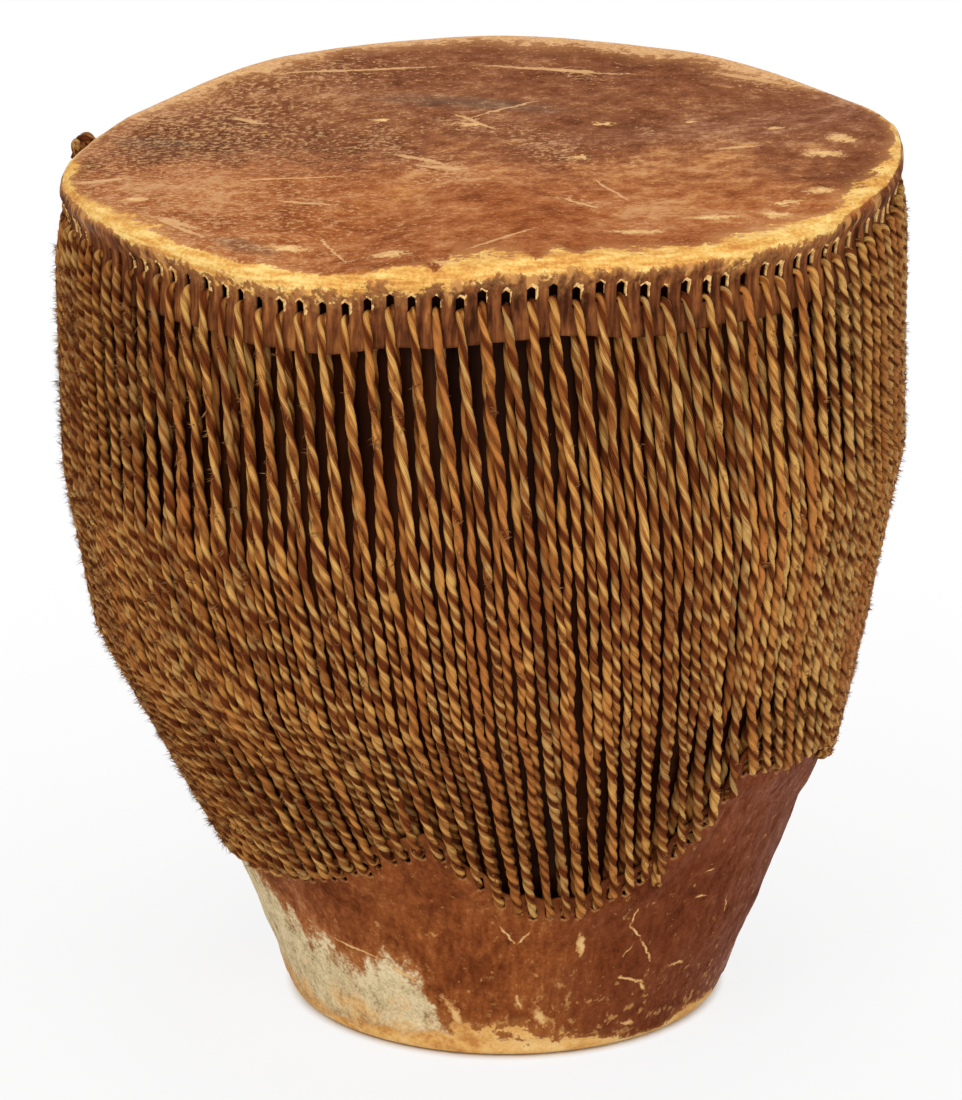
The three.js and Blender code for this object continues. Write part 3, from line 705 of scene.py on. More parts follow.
def build_thong(index, material):
    """One lacing thong. Gives its middle line and the leg that each point is on."""
    route, leg = thong_route(index)
    side, out = strand_wander(route, leg, index)
    radius = route[:, 1] + out
    points = place(radius, route[:, 0] + side / radius, route[:, 2])
    line, at = smoothed(points, STRAND_ROUNDING, STRAND_STEP)
    leg_at = np.interp(at, run_length(points), leg)
    rng = np.random.default_rng(400 + index)
    # the twist tightens and slackens along the thong, and is slackest high at the front
    rate = 1 + 0.16 * np.sin(at / 90 + rng.uniform(0, TURN)) + 0.1 * np.sin(at / 37 + index)
    around = np.arctan2(line[:, 1], line[:, 0] + BOWL_SHIFT)
    front = np.clip((-np.sin(around) - 0.35) / 0.45, 0, 1)
    upper = np.clip((line[:, 2] - 215) / 90, 0, 1)
    rate *= 3.1 - front - 0.95 * front * upper
    twist = np.cumsum(rate) * STRAND_STEP / STRAND_TWIST * TURN + rng.uniform(0, TURN)
    swell = 1 + 0.08 * np.sin(at / 61 + rng.uniform(0, TURN)) + 0.07 * np.sin(at / 17 + index)
    swell += 0.06 * np.sin(at / 6.1 + rng.uniform(0, TURN))
    in_upper_slot = np.abs((leg_at % LEGS) - 3.5) < 0.7
    swell = np.where(in_upper_slot, 0.93 * swell, swell)
    # each strand has its own tone, which changes smoothly from one to the next
    tones = rng.uniform(0, 1, 2 * RUNS + 2)
    shifted = leg_at + 5.5
    strand = (shifted // LEGS * 2 + (shifted % LEGS < LEGS / 2)).astype(int)
    tone = tones[np.clip(strand, 0, len(tones) - 1)]
    tone = np.convolve(np.pad(tone, 4, mode="edge"), np.full(9, 1 / 9), "valid")
    mesh = ThongMesh()
    mesh.add(line, twist, swell, at * MM + index * 7.3, tone)
    piece = mesh.finish(f"twisted_thong_{index + 1:02d}", material)
    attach(piece, "drum")
    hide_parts(f"lacing_thong_{index + 1:02d}")
    return line, leg_at


def thong_material():
    look = Look(bpy.data.materials.new("twisted_rawhide"))
    c, s, along, tone = (look.value(name) for name in ("ply_cos", "ply_sin", "along", "tone"))
    fine = look.noise(look.combine(c * 2.2, s * 2.2, along * 55), 2.2, 4, 0.6)
    thread = look.noise(look.combine(c * 9, s * 9, along * 90), 1.0, 3, 0.6)
    patch = look.noise(look.combine(c * 0.55, s * 0.55, along * 50), 1.0, 2, 0.5)
    broad = look.noise(look.place(), 17, 2, 0.5)
    # one ply turns its pale flesh side out, and dark hair fills the groove between the two
    flank = (c * c * 2 - 1) * 0.5 + s * 0.42
    level = look.total(flank, (patch, 2.6), (fine, 1.5), (tone, 0.3), (broad, 0.9))
    x = look.split(look.place())[0]
    # painted light: the strands' colour is made paler towards the drum's right side
    level = level + look.step(x, 0.06, 0.17) * 0.34
    share = look.step(level, -0.74, 0.92, "LINEAR")
    hue = look.total(tone, (broad, 1.1), (fine, 0.6))
    pale = look.ramp(hue, (0.02, 190, 156, 96), (0.22, 230, 182, 106), (0.5, 250, 196, 110),
                     (0.75, 240, 174, 88), (1.0, 214, 134, 64))
    dark = look.ramp(fine, (0.35, 62, 25, 9), (0.62, 128, 58, 22))
    colour = look.over(dark, rgb(172, 102, 43), share, 0.16, 0.4)
    colour = look.over(colour, pale, share, 0.46, 0.84)
    colour = look.over(colour, rgb(112, 58, 24), thread, 0.56, 0.4, 0.5)
    # short hair covers the strands on the two sides, and here and there in between. Its colour goes from
    # darker on the left to paler on the right, which is painted light.
    hairy = look.step(look.total(abs(x), (broad, 0.16)), 0.12, 0.215)
    hair = look.over(rgb(142, 86, 40), rgb(214, 150, 86), x, -0.1, 0.1)
    colour = look.mix(hairy * look.step(fine, 0.42, 0.95), colour, hair)
    fuzz = look.total(share * 0.4, (fine, 0.7), (thread, 0.7))
    return look.hide(colour, look.step(share, 1.6, -0.2), look.bump(fuzz, 0.0009, 0.9), 0.1)


def hair_material():
    look = Look(bpy.data.materials.new("loose_hair"))
    share = look.noise(look.place(), 140, 3, 0.6)
    colour = look.ramp(share, (0.3, 84, 44, 20), (0.5, 144, 90, 46), (0.68, 204, 152, 92))
    fibre = look.noise(look.place(), 900, 2, 0.6)
    return look.hide(colour, look.step(fibre, 1.1, -0.2), look.bump(fibre, 0.0003, 0.5), 0.15)


# Loose hair on the thongs: tufts, hairs in each, and a hair's radius at its root in mm
TUFTS = 4600
TUFT_HAIRS = 5
HAIR_RADIUS = 0.22


def outer_strands(leg):
    """Which points of a thong lie on its outer strands, clear of the slots."""
    return (leg % LEGS > 4.2) & (leg % LEGS < 8.3)


def build_hair(lines, material):
    """Tufts of hair left on the thongs, as fine closed spikes rooted in them."""
    rng = np.random.default_rng(77)
    roots = np.vstack([line[outer_strands(leg)] for line, leg in lines])
    tangents = unit(np.vstack([np.gradient(line, axis=0)[outer_strands(leg)] for line, leg in lines]))
    angle = np.arctan2(roots[:, 1], roots[:, 0] + BOWL_SHIFT)
    # most on the two sides, in clumps, and more on the left
    weight = 0.22 + np.abs(np.cos(angle)) ** 3 + np.clip(soft_noise(roots, 46, 31), 0, 1)
    weight *= np.where(roots[:, 0] < 0, 1.5, 1.0)
    pick = np.repeat(rng.choice(len(roots), TUFTS, p=weight / weight.sum()), TUFT_HAIRS)
    count = len(pick)
    out, along = outward(angle[pick]), tangents[pick]
    side = np.cross(out, along)
    lean = np.repeat(rng.normal(0, 0.55, (TUFTS, 2)), TUFT_HAIRS, axis=0)
    lean = lean + rng.normal(0, 0.2, (count, 2))
    root = roots[pick] + out * 1.5 + side * rng.normal(0, 0.8, (count, 1))
    root = root + along * rng.normal(0, 0.9, (count, 1))
    way = unit(out * rng.uniform(0.5, 1.1, (count, 1)) + along * lean[:, :1] + side * lean[:, 1:])
    long = np.repeat(rng.uniform(0.7, 1.5, TUFTS), TUFT_HAIRS) * rng.uniform(1.1, 2.9, count)
    long *= np.where(root[:, 0] < 0, 1.3, 0.8)
    first = unit(np.cross(way, side))
    second = np.cross(way, first)
    corners = [
        root + HAIR_RADIUS * (first * math.cos(t) + second * math.sin(t))
        for t in (0, TURN / 3, 2 * TURN / 3)
    ]
    tip = root + way * (long + 0.6)[:, None]
    base = np.arange(count)[:, None] * 4
    faces = np.vstack([base + face for face in ([0, 2, 1], [0, 1, 3], [1, 2, 3], [2, 0, 3])])
    piece = make_mesh("thong_hair", np.stack([*corners, tip], axis=1), [faces])
    dress(piece, material)
    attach(piece, "drum")


# Loose ends of thong at the front: where each ends, in mm, and its tone
TAIL_LENGTH = 24.0
TAILS = [
    ((-41.6, -155.9, 139.5), 0.35), ((-33.9, -149.3, 123.4), 0.6), ((73.1, -120.1, 98.4), 0.45),
]


def build_tails(lines, material):
    """Square-cut ends of thong, lying on the strand beside them and running in under it."""
    mesh = ThongMesh()
    count = int(TAIL_LENGTH / STRAND_STEP)
    for end, tone in TAILS:
        nearest = math.inf
        for candidate, leg in lines:
            outer = count + np.nonzero(outer_strands(leg)[count:-count])[0]
            apart = np.linalg.norm(candidate[outer] - arr(end), axis=1)
            if apart.min() < nearest:
                nearest, line, at = apart.min(), candidate, outer[apart.argmin()]
        step = 1 if line[at + 4][2] > line[at - 4][2] else -1
        path = line[at + step * np.arange(count)] + (arr(end) - line[at]) * [0, 0, 1]
        t = np.linspace(0, 1, count)[:, None]
        out = unit((path + [BOWL_SHIFT, 0, 0]) * [1, 1, 0])
        mesh.strand(path + out * (3.9 - 4.6 * t ** 2), 1.05, 24, tone, tone * 9)
    piece = mesh.finish("thong_tails", material)
    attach(piece, "drum")


# The hides have COLUMNS columns of points to a slot, and their slots are narrower than the CAD's
COLUMNS = 8
UPPER_SLOT_HALF = 0.4 * UPPER_SLOT_WIDTH
LOWER_SLOT_HALF = 0.42 * LOWER_SLOT_WIDTH


def slot_columns(centre, half):
    """Columns round a hide from its slots' angles and half widths: a slot's middle and right
    edge, the bar, and the next slot's left edge. Gives each column's angle, its place in the
    pitch, the slot that it belongs to, and whether it is on the slot."""
    following = np.append(centre[1:], centre[0] + TURN)
    left_next = following - np.append(half[1:], half[0])
    right = centre + half
    bar = [right + (left_next - right) * j / (COLUMNS - 2) for j in range(1, COLUMNS - 2)]
    angles = np.stack([centre, right, *bar, left_next], axis=1).ravel()
    j = np.tile(np.arange(COLUMNS), SLOTS)
    slot = (np.arange(len(angles)) + 1) // COLUMNS % SLOTS
    return angles, j, slot, (j <= 1) | (j == COLUMNS - 1)


def slotted(index, open_rows):
    """Outer faces of a hide, without the slot cells of its open rows, and the slots' walls."""
    rows, columns = index.shape
    opened = np.zeros((rows - 1, columns), bool)
    first = np.arange(SLOTS) * COLUMNS
    opened[slice(*open_rows), np.concatenate([first, (first - 1) % columns])] = True
    r, c = np.nonzero(~opened)
    n = (c + 1) % columns
    outer = np.stack([index[r, c], index[r, n], index[r + 1, n], index[r + 1, c]], axis=1)
    walls = []
    for i, j in zip(*np.nonzero(opened)):
        after = (j + 1) % columns
        corners = [index[i, j], index[i, after], index[i + 1, after], index[i + 1, j]]
        beside = [(i - 1, j), (i, after), (i + 1, j), (i, (j - 1) % columns)]
        for side, (a, b) in enumerate(beside):
            if 0 <= a < rows - 1 and opened[a, b]:
                continue
            p, q = corners[side], corners[(side + 1) % 4]
            walls.append((p, q, q + index.size, p + index.size))
    return outer, np.array(walls)


class HideMesh:
    """A slotted wall of an outer and an inner grid of points, and the disc that closes its last
    row, or its first where the disc faces down."""

    def __init__(self, outside, inside, shape, open_rows, down=False):
        index = np.arange(math.prod(shape)).reshape(shape)
        outer, walls = slotted(index, open_rows)
        self.down = down
        self.points = [outside, inside]
        self.count = 2 * index.size
        self.quads = [outer, outer[:, ::-1] + index.size, walls]
        self.triangles = []
        self.ring, free = (index[0], index[-1]) if down else (index[-1], index[0])
        self.inner_ring = self.ring + index.size
        edge = np.stack([free, free + index.size], axis=1)
        self.add(self.quads, np.hstack([edge, np.roll(edge, -1, axis=0)[:, ::-1]]))

    def add(self, faces, more, under=False):
        faces.append(more[:, ::-1] if self.down != under else more)

    def ring_to(self, points):
        """Faces from the last ring to a new one of as many points or half as many."""
        new = self.count + np.arange(len(points))
        if len(new) == len(self.ring):
            self.add(self.quads, joined(self.ring, new))
        else:
            self.add(self.triangles, stitched(self.ring, new))
        self.points.append(points)
        self.count += len(new)
        self.ring = new

    def close(self, centre, inner_centre):
        """Close the disc and the inside, each with triangles to its middle."""
        self.add(self.triangles, fan(self.ring, self.count))
        self.add(self.triangles, fan(self.inner_ring, self.count + 1), under=True)
        self.points += [centre, inner_centre]
        self.count += 2

    def both(self, grid, rest=None):
        """Point values: the grid's for both sides of the wall, and the disc's, or 0 for it."""
        wall = np.tile(grid.ravel(), 2)
        return np.append(wall, np.zeros(self.count - len(wall)) if rest is None else rest)

    def finish(self, name, material, values):
        faces = [np.vstack(self.quads), np.vstack(self.triangles)]
        piece = make_mesh(name, np.vstack(self.points), faces, values)
        dress(piece, material)
        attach(piece, "drum")
        return piece


# How far the hair is worn off from the rim's shoulder, in mm: in over the head, and down
WORN_IN = [
    (0, 4), (12, 5), (28, 4), (36, 10), (44, 16), (54, 13), (62, 18), (72, 14), (82, 16),
    (92, 13), (104, 12), (112, 8), (118, 14), (127, 19), (134, 12), (141, 16), (147, 10),
    (154, 6), (163, 4.5), (172, 4.5), (182, 6), (190, 4.5), (198, 5), (206, 8), (211, 13),
    (217, 12), (224, 5), (229, 2.5), (234, 3), (237, 1.5), (241, 6), (246, 5), (250, 2.5),
    (255, 2.5), (259, 5), (262, 6), (264, 0.6), (266, 21), (271, 20), (275, 16), (277, 4),
    (280, 15), (283, 6), (287, 16), (295, 14), (300, 7), (307, 12), (314, 12), (320, 9),
    (325, 5), (331, 10), (337, 11), (343, 9), (349, 6),
]
WORN_DOWN = [
    (0, 1.5), (40, 1), (90, 1), (150, 1.2), (190, 1.5), (198, 1.5), (205, 3.4), (209, 2.2),
    (214, 3), (219, 4.2), (224, 5.6), (229, 6.8), (236, 7.6), (244, 6.7), (251, 7), (256, 7.8),
    (261, 8.6), (263, 5.8), (272, 5.6), (276, 6.6), (282, 7.2), (288, 5.4), (293, 4.2),
    (299, 4.4), (305, 6.1), (309, 4.4), (316, 6.1), (322, 6), (326, 1.6), (331, 0.8), (345, 0.8),
]

# The upper hide's outside as height and radius, from the skirt's hanging edge up to the head, the
# heights of its rows above the slots, how far a slot's top is over its row, and the head's inside
SKIRT_PROFILE = arr([
    (SKIRT_FOOT, SKIRT_FOOT_INSIDE + HIDE), (SKIRT_FOOT + 6, SKIRT_FOOT_INSIDE + 1.9),
    (SKIRT_FOOT + 12, SKIRT_SLOT_INSIDE + 2.6), (UPPER_ROW, SKIRT_SLOT_INSIDE + 2.2),
    (UPPER_ROW + 5, SKIRT_SLOT_INSIDE + 2.6), (UPPER_ROW + 8.5, ROLL_RADIUS - 1.6),
    (UPPER_ROW + 11.5, ROLL_RADIUS), (HEAD_HEIGHT - 4.6, ROLL_RADIUS - 0.2),
    (HEAD_HEIGHT - 2.4, ROLL_RADIUS - 1.6), (HEAD_HEIGHT - 1.0, ROLL_RADIUS - 4.0),
])
ROLL_LEVELS = [
    UPPER_ROW + 8.5, UPPER_ROW + 10.4, UPPER_ROW + 12.2, HEAD_HEIGHT - 5, HEAD_HEIGHT - 3.6,
    HEAD_HEIGHT - 2.4, HEAD_HEIGHT - 1.5,
]
SLOT_RISE = 5.6
HEAD_UNDERSIDE = HEAD_HEIGHT - 2.2

# Rings of the head from its edge in, the radii within which they have half as many points each
# time, and how far in from the roll the head falls off towards it
HEAD_RINGS = [195.4, 194.0, 192.4, 190.6, *(188.6 - 1.9 * np.arange(98))]
HALVED_WITHIN = [100, 50, 25, 11]
HEAD_EDGE = 9.0


def build_upper_hide(material):
    half = np.full(SLOTS, UPPER_SLOT_HALF / ROLL_RADIUS)
    angles, j, slot, on_slot = slot_columns(upper_angle(np.arange(SLOTS)), half)
    arch = np.select([j == 0, on_slot], [0.9, -0.4], 0)
    top_line = np.where(on_slot, upper_slot(slot), UPPER_ROW) + SLOT_RISE
    low_line = top_line - SLOT_HEIGHT / 2 - SLOT_RISE - 0.5 * arch
    top_line = top_line + arch
    ragged = 0.9 * soft_noise(190 * outward(angles), 30, 3)
    skirt = between(SKIRT_FOOT + ragged, low_line - 1.2, np.linspace(0, 1, 8))
    slots = between(low_line, top_line, np.linspace(0, 1, 5))
    roll = [top_line + 1.0, *(np.full(len(angles), level) for level in ROLL_LEVELS)]
    open_low, open_high = len(skirt), len(skirt + slots) - 1
    height = np.array(skirt + slots + roll)
    radius = np.interp(height, *SKIRT_PROFILE.T)
    # lips of the slots stand proud, the right one more, and their cut edges show pale
    in_band = (height > UPPER_ROW - 8) & (height < UPPER_ROW + 8.5)
    radius += 0.85 * np.select([j == 1, j == COLUMNS - 1], [1.0, 0.5], 0.0) * in_band
    torn = (np.random.default_rng(61).uniform(0.1, 1.0, SLOTS) ** 0.5)[slot]
    beside = np.select([j == 1, j == 2], [torn, 0.62 * torn], 0)
    above = np.select([j <= 1, j == 2, j == COLUMNS - 1], [torn, beside, 0.5 * torn], 0)
    cut = np.zeros_like(height)
    cut[open_low + 2:open_high + 1] = beside
    cut[open_high:open_high + 2] = above
    rim = (ROLL_RADIUS - radius) - (HEAD_HEIGHT - height)
    rim = rim / np.where(rim > 0, round_table(WORN_IN, angles), round_table(WORN_DOWN, angles))
    angle = np.broadcast_to(angles, height.shape)
    outside = place(radius, angle, height).reshape(-1, 3)
    outside = outside + outward(angle).reshape(-1, 3) * (0.45 * soft_noise(outside, 26, 11))[:, None]
    inside = place(radius - HIDE, angle, np.minimum(height, HEAD_UNDERSIDE)).reshape(-1, 3)
    mesh = HideMesh(outside, inside, height.shape, (open_low, open_high))
    # the head, a little dished and uneven within its edge
    ring_angles, ring_rims = angles, []
    for r in HEAD_RINGS:
        if len(ring_angles) > len(angles) // 2 ** sum(r < limit for limit in HALVED_WITHIN):
            ring_angles = ring_angles[::2]
        share = np.clip((ROLL_RADIUS - r) / HEAD_EDGE, 0, 1)
        points = place(r, ring_angles, HEAD_HEIGHT - 0.75 * (1 - share) ** 2)
        dent = 0.35 * soft_noise(points, 70, 5) + 0.12 * soft_noise(points, 14, 6) - 0.35
        points[:, 2] += dent * share
        mesh.ring_to(points)
        ring_rims.append((ROLL_RADIUS - r) / round_table(WORN_IN, ring_angles))
    mesh.close(place(0.0, 0.0, HEAD_HEIGHT - 0.3), place(0.0, 0.0, HEAD_UNDERSIDE))
    piece = mesh.finish("upper_hide", material, {
        "rim": mesh.both(rim, np.concatenate([*ring_rims, [40.0, -9.0]])),
        "cut": mesh.both(cut),
        "down": mesh.both(HEAD_HEIGHT - height),
    })
    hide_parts("upper_skin")


# The lower hide's turn round the foot as radius and height, the rings of its underside, and the
# height of its flat inside
FOOT_CORNER = [(100.0, 0.0), (103.6, 0.35), (106.0, 1.5), (107.6, 3.4), (108.8, 6.2), (109.6, 9.6)]
UNDERSIDE_RINGS = [92.0, 82.0, 66.0, 48.0, 30.0, 14.0]
FOOT_INSIDE = 1.9


def build_lower_hide(material):
    k = np.arange(SLOTS)
    angles, j, slot, on_slot = slot_columns(lower_angle(k), LOWER_SLOT_HALF / shell_radius(lower_slot(k)))
    row = row_height(angles)
    middle = np.where(on_slot, lower_slot(slot), row)
    arch = np.select([j == 0, on_slot], [0.7, -0.4], 0)
    low_line = middle - SLOT_HEIGHT / 2 - arch
    top_line = middle + SLOT_HEIGHT / 2 + arch
    cup = row - LOWER_SKIN_LIFT
    edge = row + LOWER_EDGE_MARGIN + 1.6 * soft_noise(150 * outward(angles), 24, 8)
    rise_shares = np.linspace(0, 1, 10)[1:]
    corner = [np.full(len(angles), h) for _, h in FOOT_CORNER]
    cone = between(FOOT_CORNER[-1][1], cup, np.linspace(0, 1, 31)[1:])
    rise = between(cup, low_line - 1.0, rise_shares)
    slots = between(low_line, top_line, np.linspace(0, 1, 4))
    free = between(top_line, edge, (0.2, 0.6, 1.0))
    height = np.array(corner + cone + rise + slots + free)
    open_low = len(corner + cone + rise)
    open_high = open_low + len(slots) - 1
    # it lies on the wood up to the cup's edge, and rises from there over the inner strands
    cuffed = np.zeros(len(height))
    cuffed[len(corner + cone):open_low] = eased(rise_shares)
    cuffed[open_low:] = 1
    near_wood = off_wood(height, HIDE_GAP + HIDE)
    radius = near_wood + (cuff_radius(angles, height, HIDE) - near_wood) * cuffed[:, None]
    radius[:len(corner)] = [[r] for r, _ in FOOT_CORNER]
    # the hide is drawn taut, so it runs straighter than the wood up to its slots
    foot_row, cuff_row = len(corner) - 1, open_low - 1
    share = (height - height[foot_row]) / (height[cuff_row] - height[foot_row])
    chord = radius[foot_row] + (radius[cuff_row] - radius[foot_row]) * share
    taut = np.clip(0.95 * (chord - radius), 0, None)
    most = 3.6 + 5.4 * np.clip(-2 * np.cos(angles), 0, 1)
    taut = most * (1 - np.exp(-taut / most)) * np.clip(3 * share, 0, 1)
    radius[foot_row:cuff_row] += taut[foot_row:cuff_row]
    lip = np.zeros_like(height)
    lip[open_low - 1:open_high + 2] = on_slot
    angle = np.broadcast_to(angles, height.shape)
    outside = place(radius, angle, height).reshape(-1, 3)
    loose = np.clip((outside[:, 2] - 4) / 12, 0, 1)
    uneven = loose * (0.5 * soft_noise(outside, 34, 21) + 0.2 * soft_noise(outside, 9, 22))
    outside = outside + outward(angle).reshape(-1, 3) * uneven[:, None]
    inner_radius = radius - HIDE * slope_factor(np.maximum(height, 10))
    inside = place(inner_radius, angle, np.maximum(height, FOOT_INSIDE)).reshape(-1, 3)
    mesh = HideMesh(outside, inside, height.shape, (open_low, open_high), down=True)
    ring_angles = angles
    for r in UNDERSIDE_RINGS:
        if r < UNDERSIDE_RINGS[0]:
            ring_angles = ring_angles[::2]
        mesh.ring_to(place(r, ring_angles, 0.0))
    mesh.close(place(0.0, 0.0, 0.0), place(0.0, 0.0, FOOT_INSIDE))
    piece = mesh.finish("lower_hide", material, {
        "lip": mesh.both(lip),
        "around": mesh.both(angle % TURN * FOOT_ARC * MM),
        "pale_side": mesh.both(round_table(PALE_TOP, angles) - height),
        "worn_side": mesh.both(height / round_table(WORN_FOOT, angles)),
    })
    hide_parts("lower_skin")


# Marks on the head seen from above, each its two ends and its half width in mm
HEAD_SCRATCHES = [
    (-130.3, -39.9, -76.8, -37.6, 1.2), (-115.5, 137.5, -37.4, 142.2, 1.7),
    (-11, 140.6, 65.4, 126, 1.5), (-132.4, 78.1, -119.8, 66, 2.2), (-84.5, -129.9, -71.6, -168.7, 0.8),
    (-162.4, -96.4, -137.6, -130, 1.3), (-18.2, 53, 15.7, 82.2, 1.0), (99.7, -13.1, 117.9, -11.3, 1.5),
    (40.7, -50.3, 56.2, -88.4, 0.8), (-17.6, -167.9, 11.5, -142, 1.2), (-200, -30, -181, -25, 3.4),
    (-158, -99, -142, -116, 2.6), (-105, -76, -82, -84, 1.6), (-52, 2, -30, -19, 2.2),
    (-41, -21, -19, -28, 2.4), (26, -84, 40, -100, 1.2), (-24, 60, -6, 36, 1.5),
    (108, 128, 140, 112, 3), (0, 139, 46, 132, 1.5), (-190, 92, -176, 82, 2.2),
]
HEAD_SPOTS = [
    (-102, -145.4, -93, -146, 4.4), (-54, -166.4, -49, -167, 6.0), (-172, -67.8, -169, -68, 4.2),
    (45.6, 45.4, 49.6, 45, 2.6), (88.6, 46.6, 91, 46.6, 2.2), (156, -2, 160, -8, 4.5),
    (144, -25, 154, -28, 4.6), (141, -81, 146, -81, 4.6), (124, -98, 131, -97, 3.2),
    (119.5, -112, 124, -116, 4.6), (85, -118, 102, -116, 3.4), (49, -140.8, 66, -141.8, 3.4),
    (-20.5, 45, -14, 44, 3.2), (32, -14, 37, -16, 2.8), (-63, 57, -58, 55, 2.6),
    (126, 20, 130, 20, 2.6), (-30, -186, -16, -194, 5),
]
SPECKLED = [
    (-66, 52, -56, 8, 13), (-50, 0, -22, -50, 20), (-30, 50, -6, 34, 13), (6, 34, 34, -24, 18),
    (66, 42, 70, 16, 6), (62, -20, 66, -38, 6), (-128, 26, -120, 12, 10), (-137, -4, -133, -24, 9),
    (-110, -52, -72, -92, 12), (108, 130, 144, 110, 11), (-176, 88, -150, 64, 9),
    (28, 136, 44, 118, 9), (24, -82, 42, -100, 8), (-190, -24, -178, -26, 6),
]
SMOKED = [(-128, -136, -108, -152, 9), (-186, 50, -150, 40, 12), (-60, 90, 30, 66, 12)]


def head_material():
    look = Look(bpy.data.materials.new("worn_head_hide"))
    at = look.place()
    x, y, _ = look.split(at)
    flat = look.combine(x, y, 0.0)
    rim, cut, down = (look.value(name) for name in ("rim", "cut", "down"))
    skirt = look.step(down, 2.5, 7)
    broad = look.noise(at, 13, 3, 0.55)
    coarse = look.noise(at, 105, 3, 0.6)
    fine = look.noise(at, 520, 3, 0.65)
    streak = look.grain((88, 128, 88), 5, 0.68)
    grit = look.grain((260, 320, 260), 3, 0.7)
    stroke = look.grain((330, 330, 38), 4, 0.6)

    # short hair, lying along x, redder towards the front and a little to the left, where it is also
    # painted lighter as painted light
    tone = look.total(0.5, (broad, 0.95), (streak, 0.3), (coarse, 0.62), (fine, 0.45), (grit, 0.42))
    hair = look.ramp(tone, (0.2, 92, 48, 27), (0.42, 124, 70, 40), (0.58, 146, 87, 50),
                     (0.85, 204, 148, 92))
    redder_lit_hair = look.ramp(tone, (0.2, 112, 54, 24), (0.42, 150, 80, 36), (0.58, 174, 102, 50),
                    (0.85, 216, 156, 90))
    redder_and_lit_front = look.total(y * -1.0 + x * -0.3, (broad, 0.28), (coarse, 0.08))
    colour = look.over(hair, redder_lit_hair, redder_and_lit_front, -0.02, 0.09)
    smoked = look.marks(look.warped(flat, 60, 0.012), SMOKED)
    colour = look.over(colour, rgb(88, 70, 54), smoked, 1.2, 0.3, 0.5)

    # bald specks in some places, then the scratches and spots of the photograph
    speckled = look.step(look.marks(look.warped(flat, 45, 0.02), SPECKLED), 1.5, 0.2)
    left = look.step(look.total(x, (broad, 0.2)), 0.02, -0.16)
    speck = look.grain((330, 400, 300), 3, 0.7) + look.math("MAXIMUM", speckled, left) * 0.12
    colour = look.over(colour, rgb(216, 166, 116), speck, 0.6, 0.72, 0.72)
    worn = look.total(look.marks(look.warped(flat, 260, 0.0042), HEAD_SCRATCHES), (fine, 1.6))
    colour = look.over(colour, rgb(226, 176, 120), worn, 1.15, 0.75, 0.8)
    worn_spot = look.total(look.marks(look.warped(flat, 200, 0.011), HEAD_SPOTS), (fine, 2.2), (grit, 2.6))
    spot = look.over(rgb(222, 168, 108), rgb(248, 208, 142), grit, 0.35, 0.65)
    colour = look.over(colour, spot, worn_spot, 1.15, 0.6, 0.9)

    # the skirt's hide is browner, with upright strokes, paler under the rim
    strokes = look.total(0.5, (stroke, 1.3), (broad, 0.5), (coarse, 0.4))
    below = look.ramp(strokes, (0.25, 66, 34, 18), (0.48, 114, 64, 35), (0.66, 148, 90, 48),
                      (0.85, 192, 128, 66))
    colour = look.mix(skirt, colour, below)
    tongue = look.step(look.grain((120, 120, 14), 4, 0.6) - down * 0.011, 0.47, 0.56)
    colour = look.mix(tongue * look.step(down, 1.5, 5) * 0.75, colour, rgb(216, 156, 88))

    # the rim and the slots' cut edges are worn or cut to bare golden hide
    edge = look.total(abs(rim), (coarse, 2.4), (fine, 1.0), (grit, 2.0))
    rind = look.total(0.5, (look.grain((60, 60, 420), 4, 0.6), 1.4), (fine, 0.8), (broad, 0.5))
    bare = look.ramp(rind, (0.2, 204, 134, 66), (0.45, 232, 176, 92), (0.7, 250, 214, 134))
    # painted light: the bare rim is made paler and duller at the back
    paler_back_painted_light = look.over(rgb(206, 150, 98), rgb(234, 188, 136), fine, 0.3, 0.7)
    bare = look.over(bare, paler_back_painted_light, y, 0.0, 0.1)
    colour = look.over(colour, rgb(206, 146, 88), edge, 2.2, 0.9, 0.4)
    colour = look.over(colour, bare, edge, 1.2, 0.86)
    cut_hide = look.over(rgb(216, 156, 88), rgb(248, 208, 138), fine, 0.4, 0.62)
    colour = look.over(colour, cut_hide, look.total(cut, (fine, 0.9), (coarse, 1.1)), 0.56, 0.68)
    height = look.total(0.0, (fine, 0.5), (look.mix(skirt, streak, stroke), 0.8), (coarse, 0.5))
    return look.hide(colour, look.step(tone, 1.3, -0.2), look.bump(height, 0.0009, 0.7), 0.02)


# How high the foot's pale hide and worn edge reach, in degrees and mm
PALE_TOP = [
    (0, -20), (120, -20), (165, -10), (176, 45), (186, 92), (200, 92), (205, 81), (209, 73),
    (215, 64), (219, 57), (223, 51), (227, 51), (230, 46), (233, 41), (236, 42), (239, 48),
    (242, 53), (246, 50), (250, 43), (252.5, 30), (254, 17), (258, 9), (266, -5), (300, -20),
]
WORN_FOOT = [
    (0, 5), (40, 4), (90, 5), (140, 6), (180, 6), (205, 5), (225, 6), (241, 8), (250, 11),
    (258, 16), (266, 16), (274, 15), (283, 11), (292, 8), (299, 6.5), (305, 3), (313, 2.5),
    (319, 7), (331, 7), (345, 5),
]

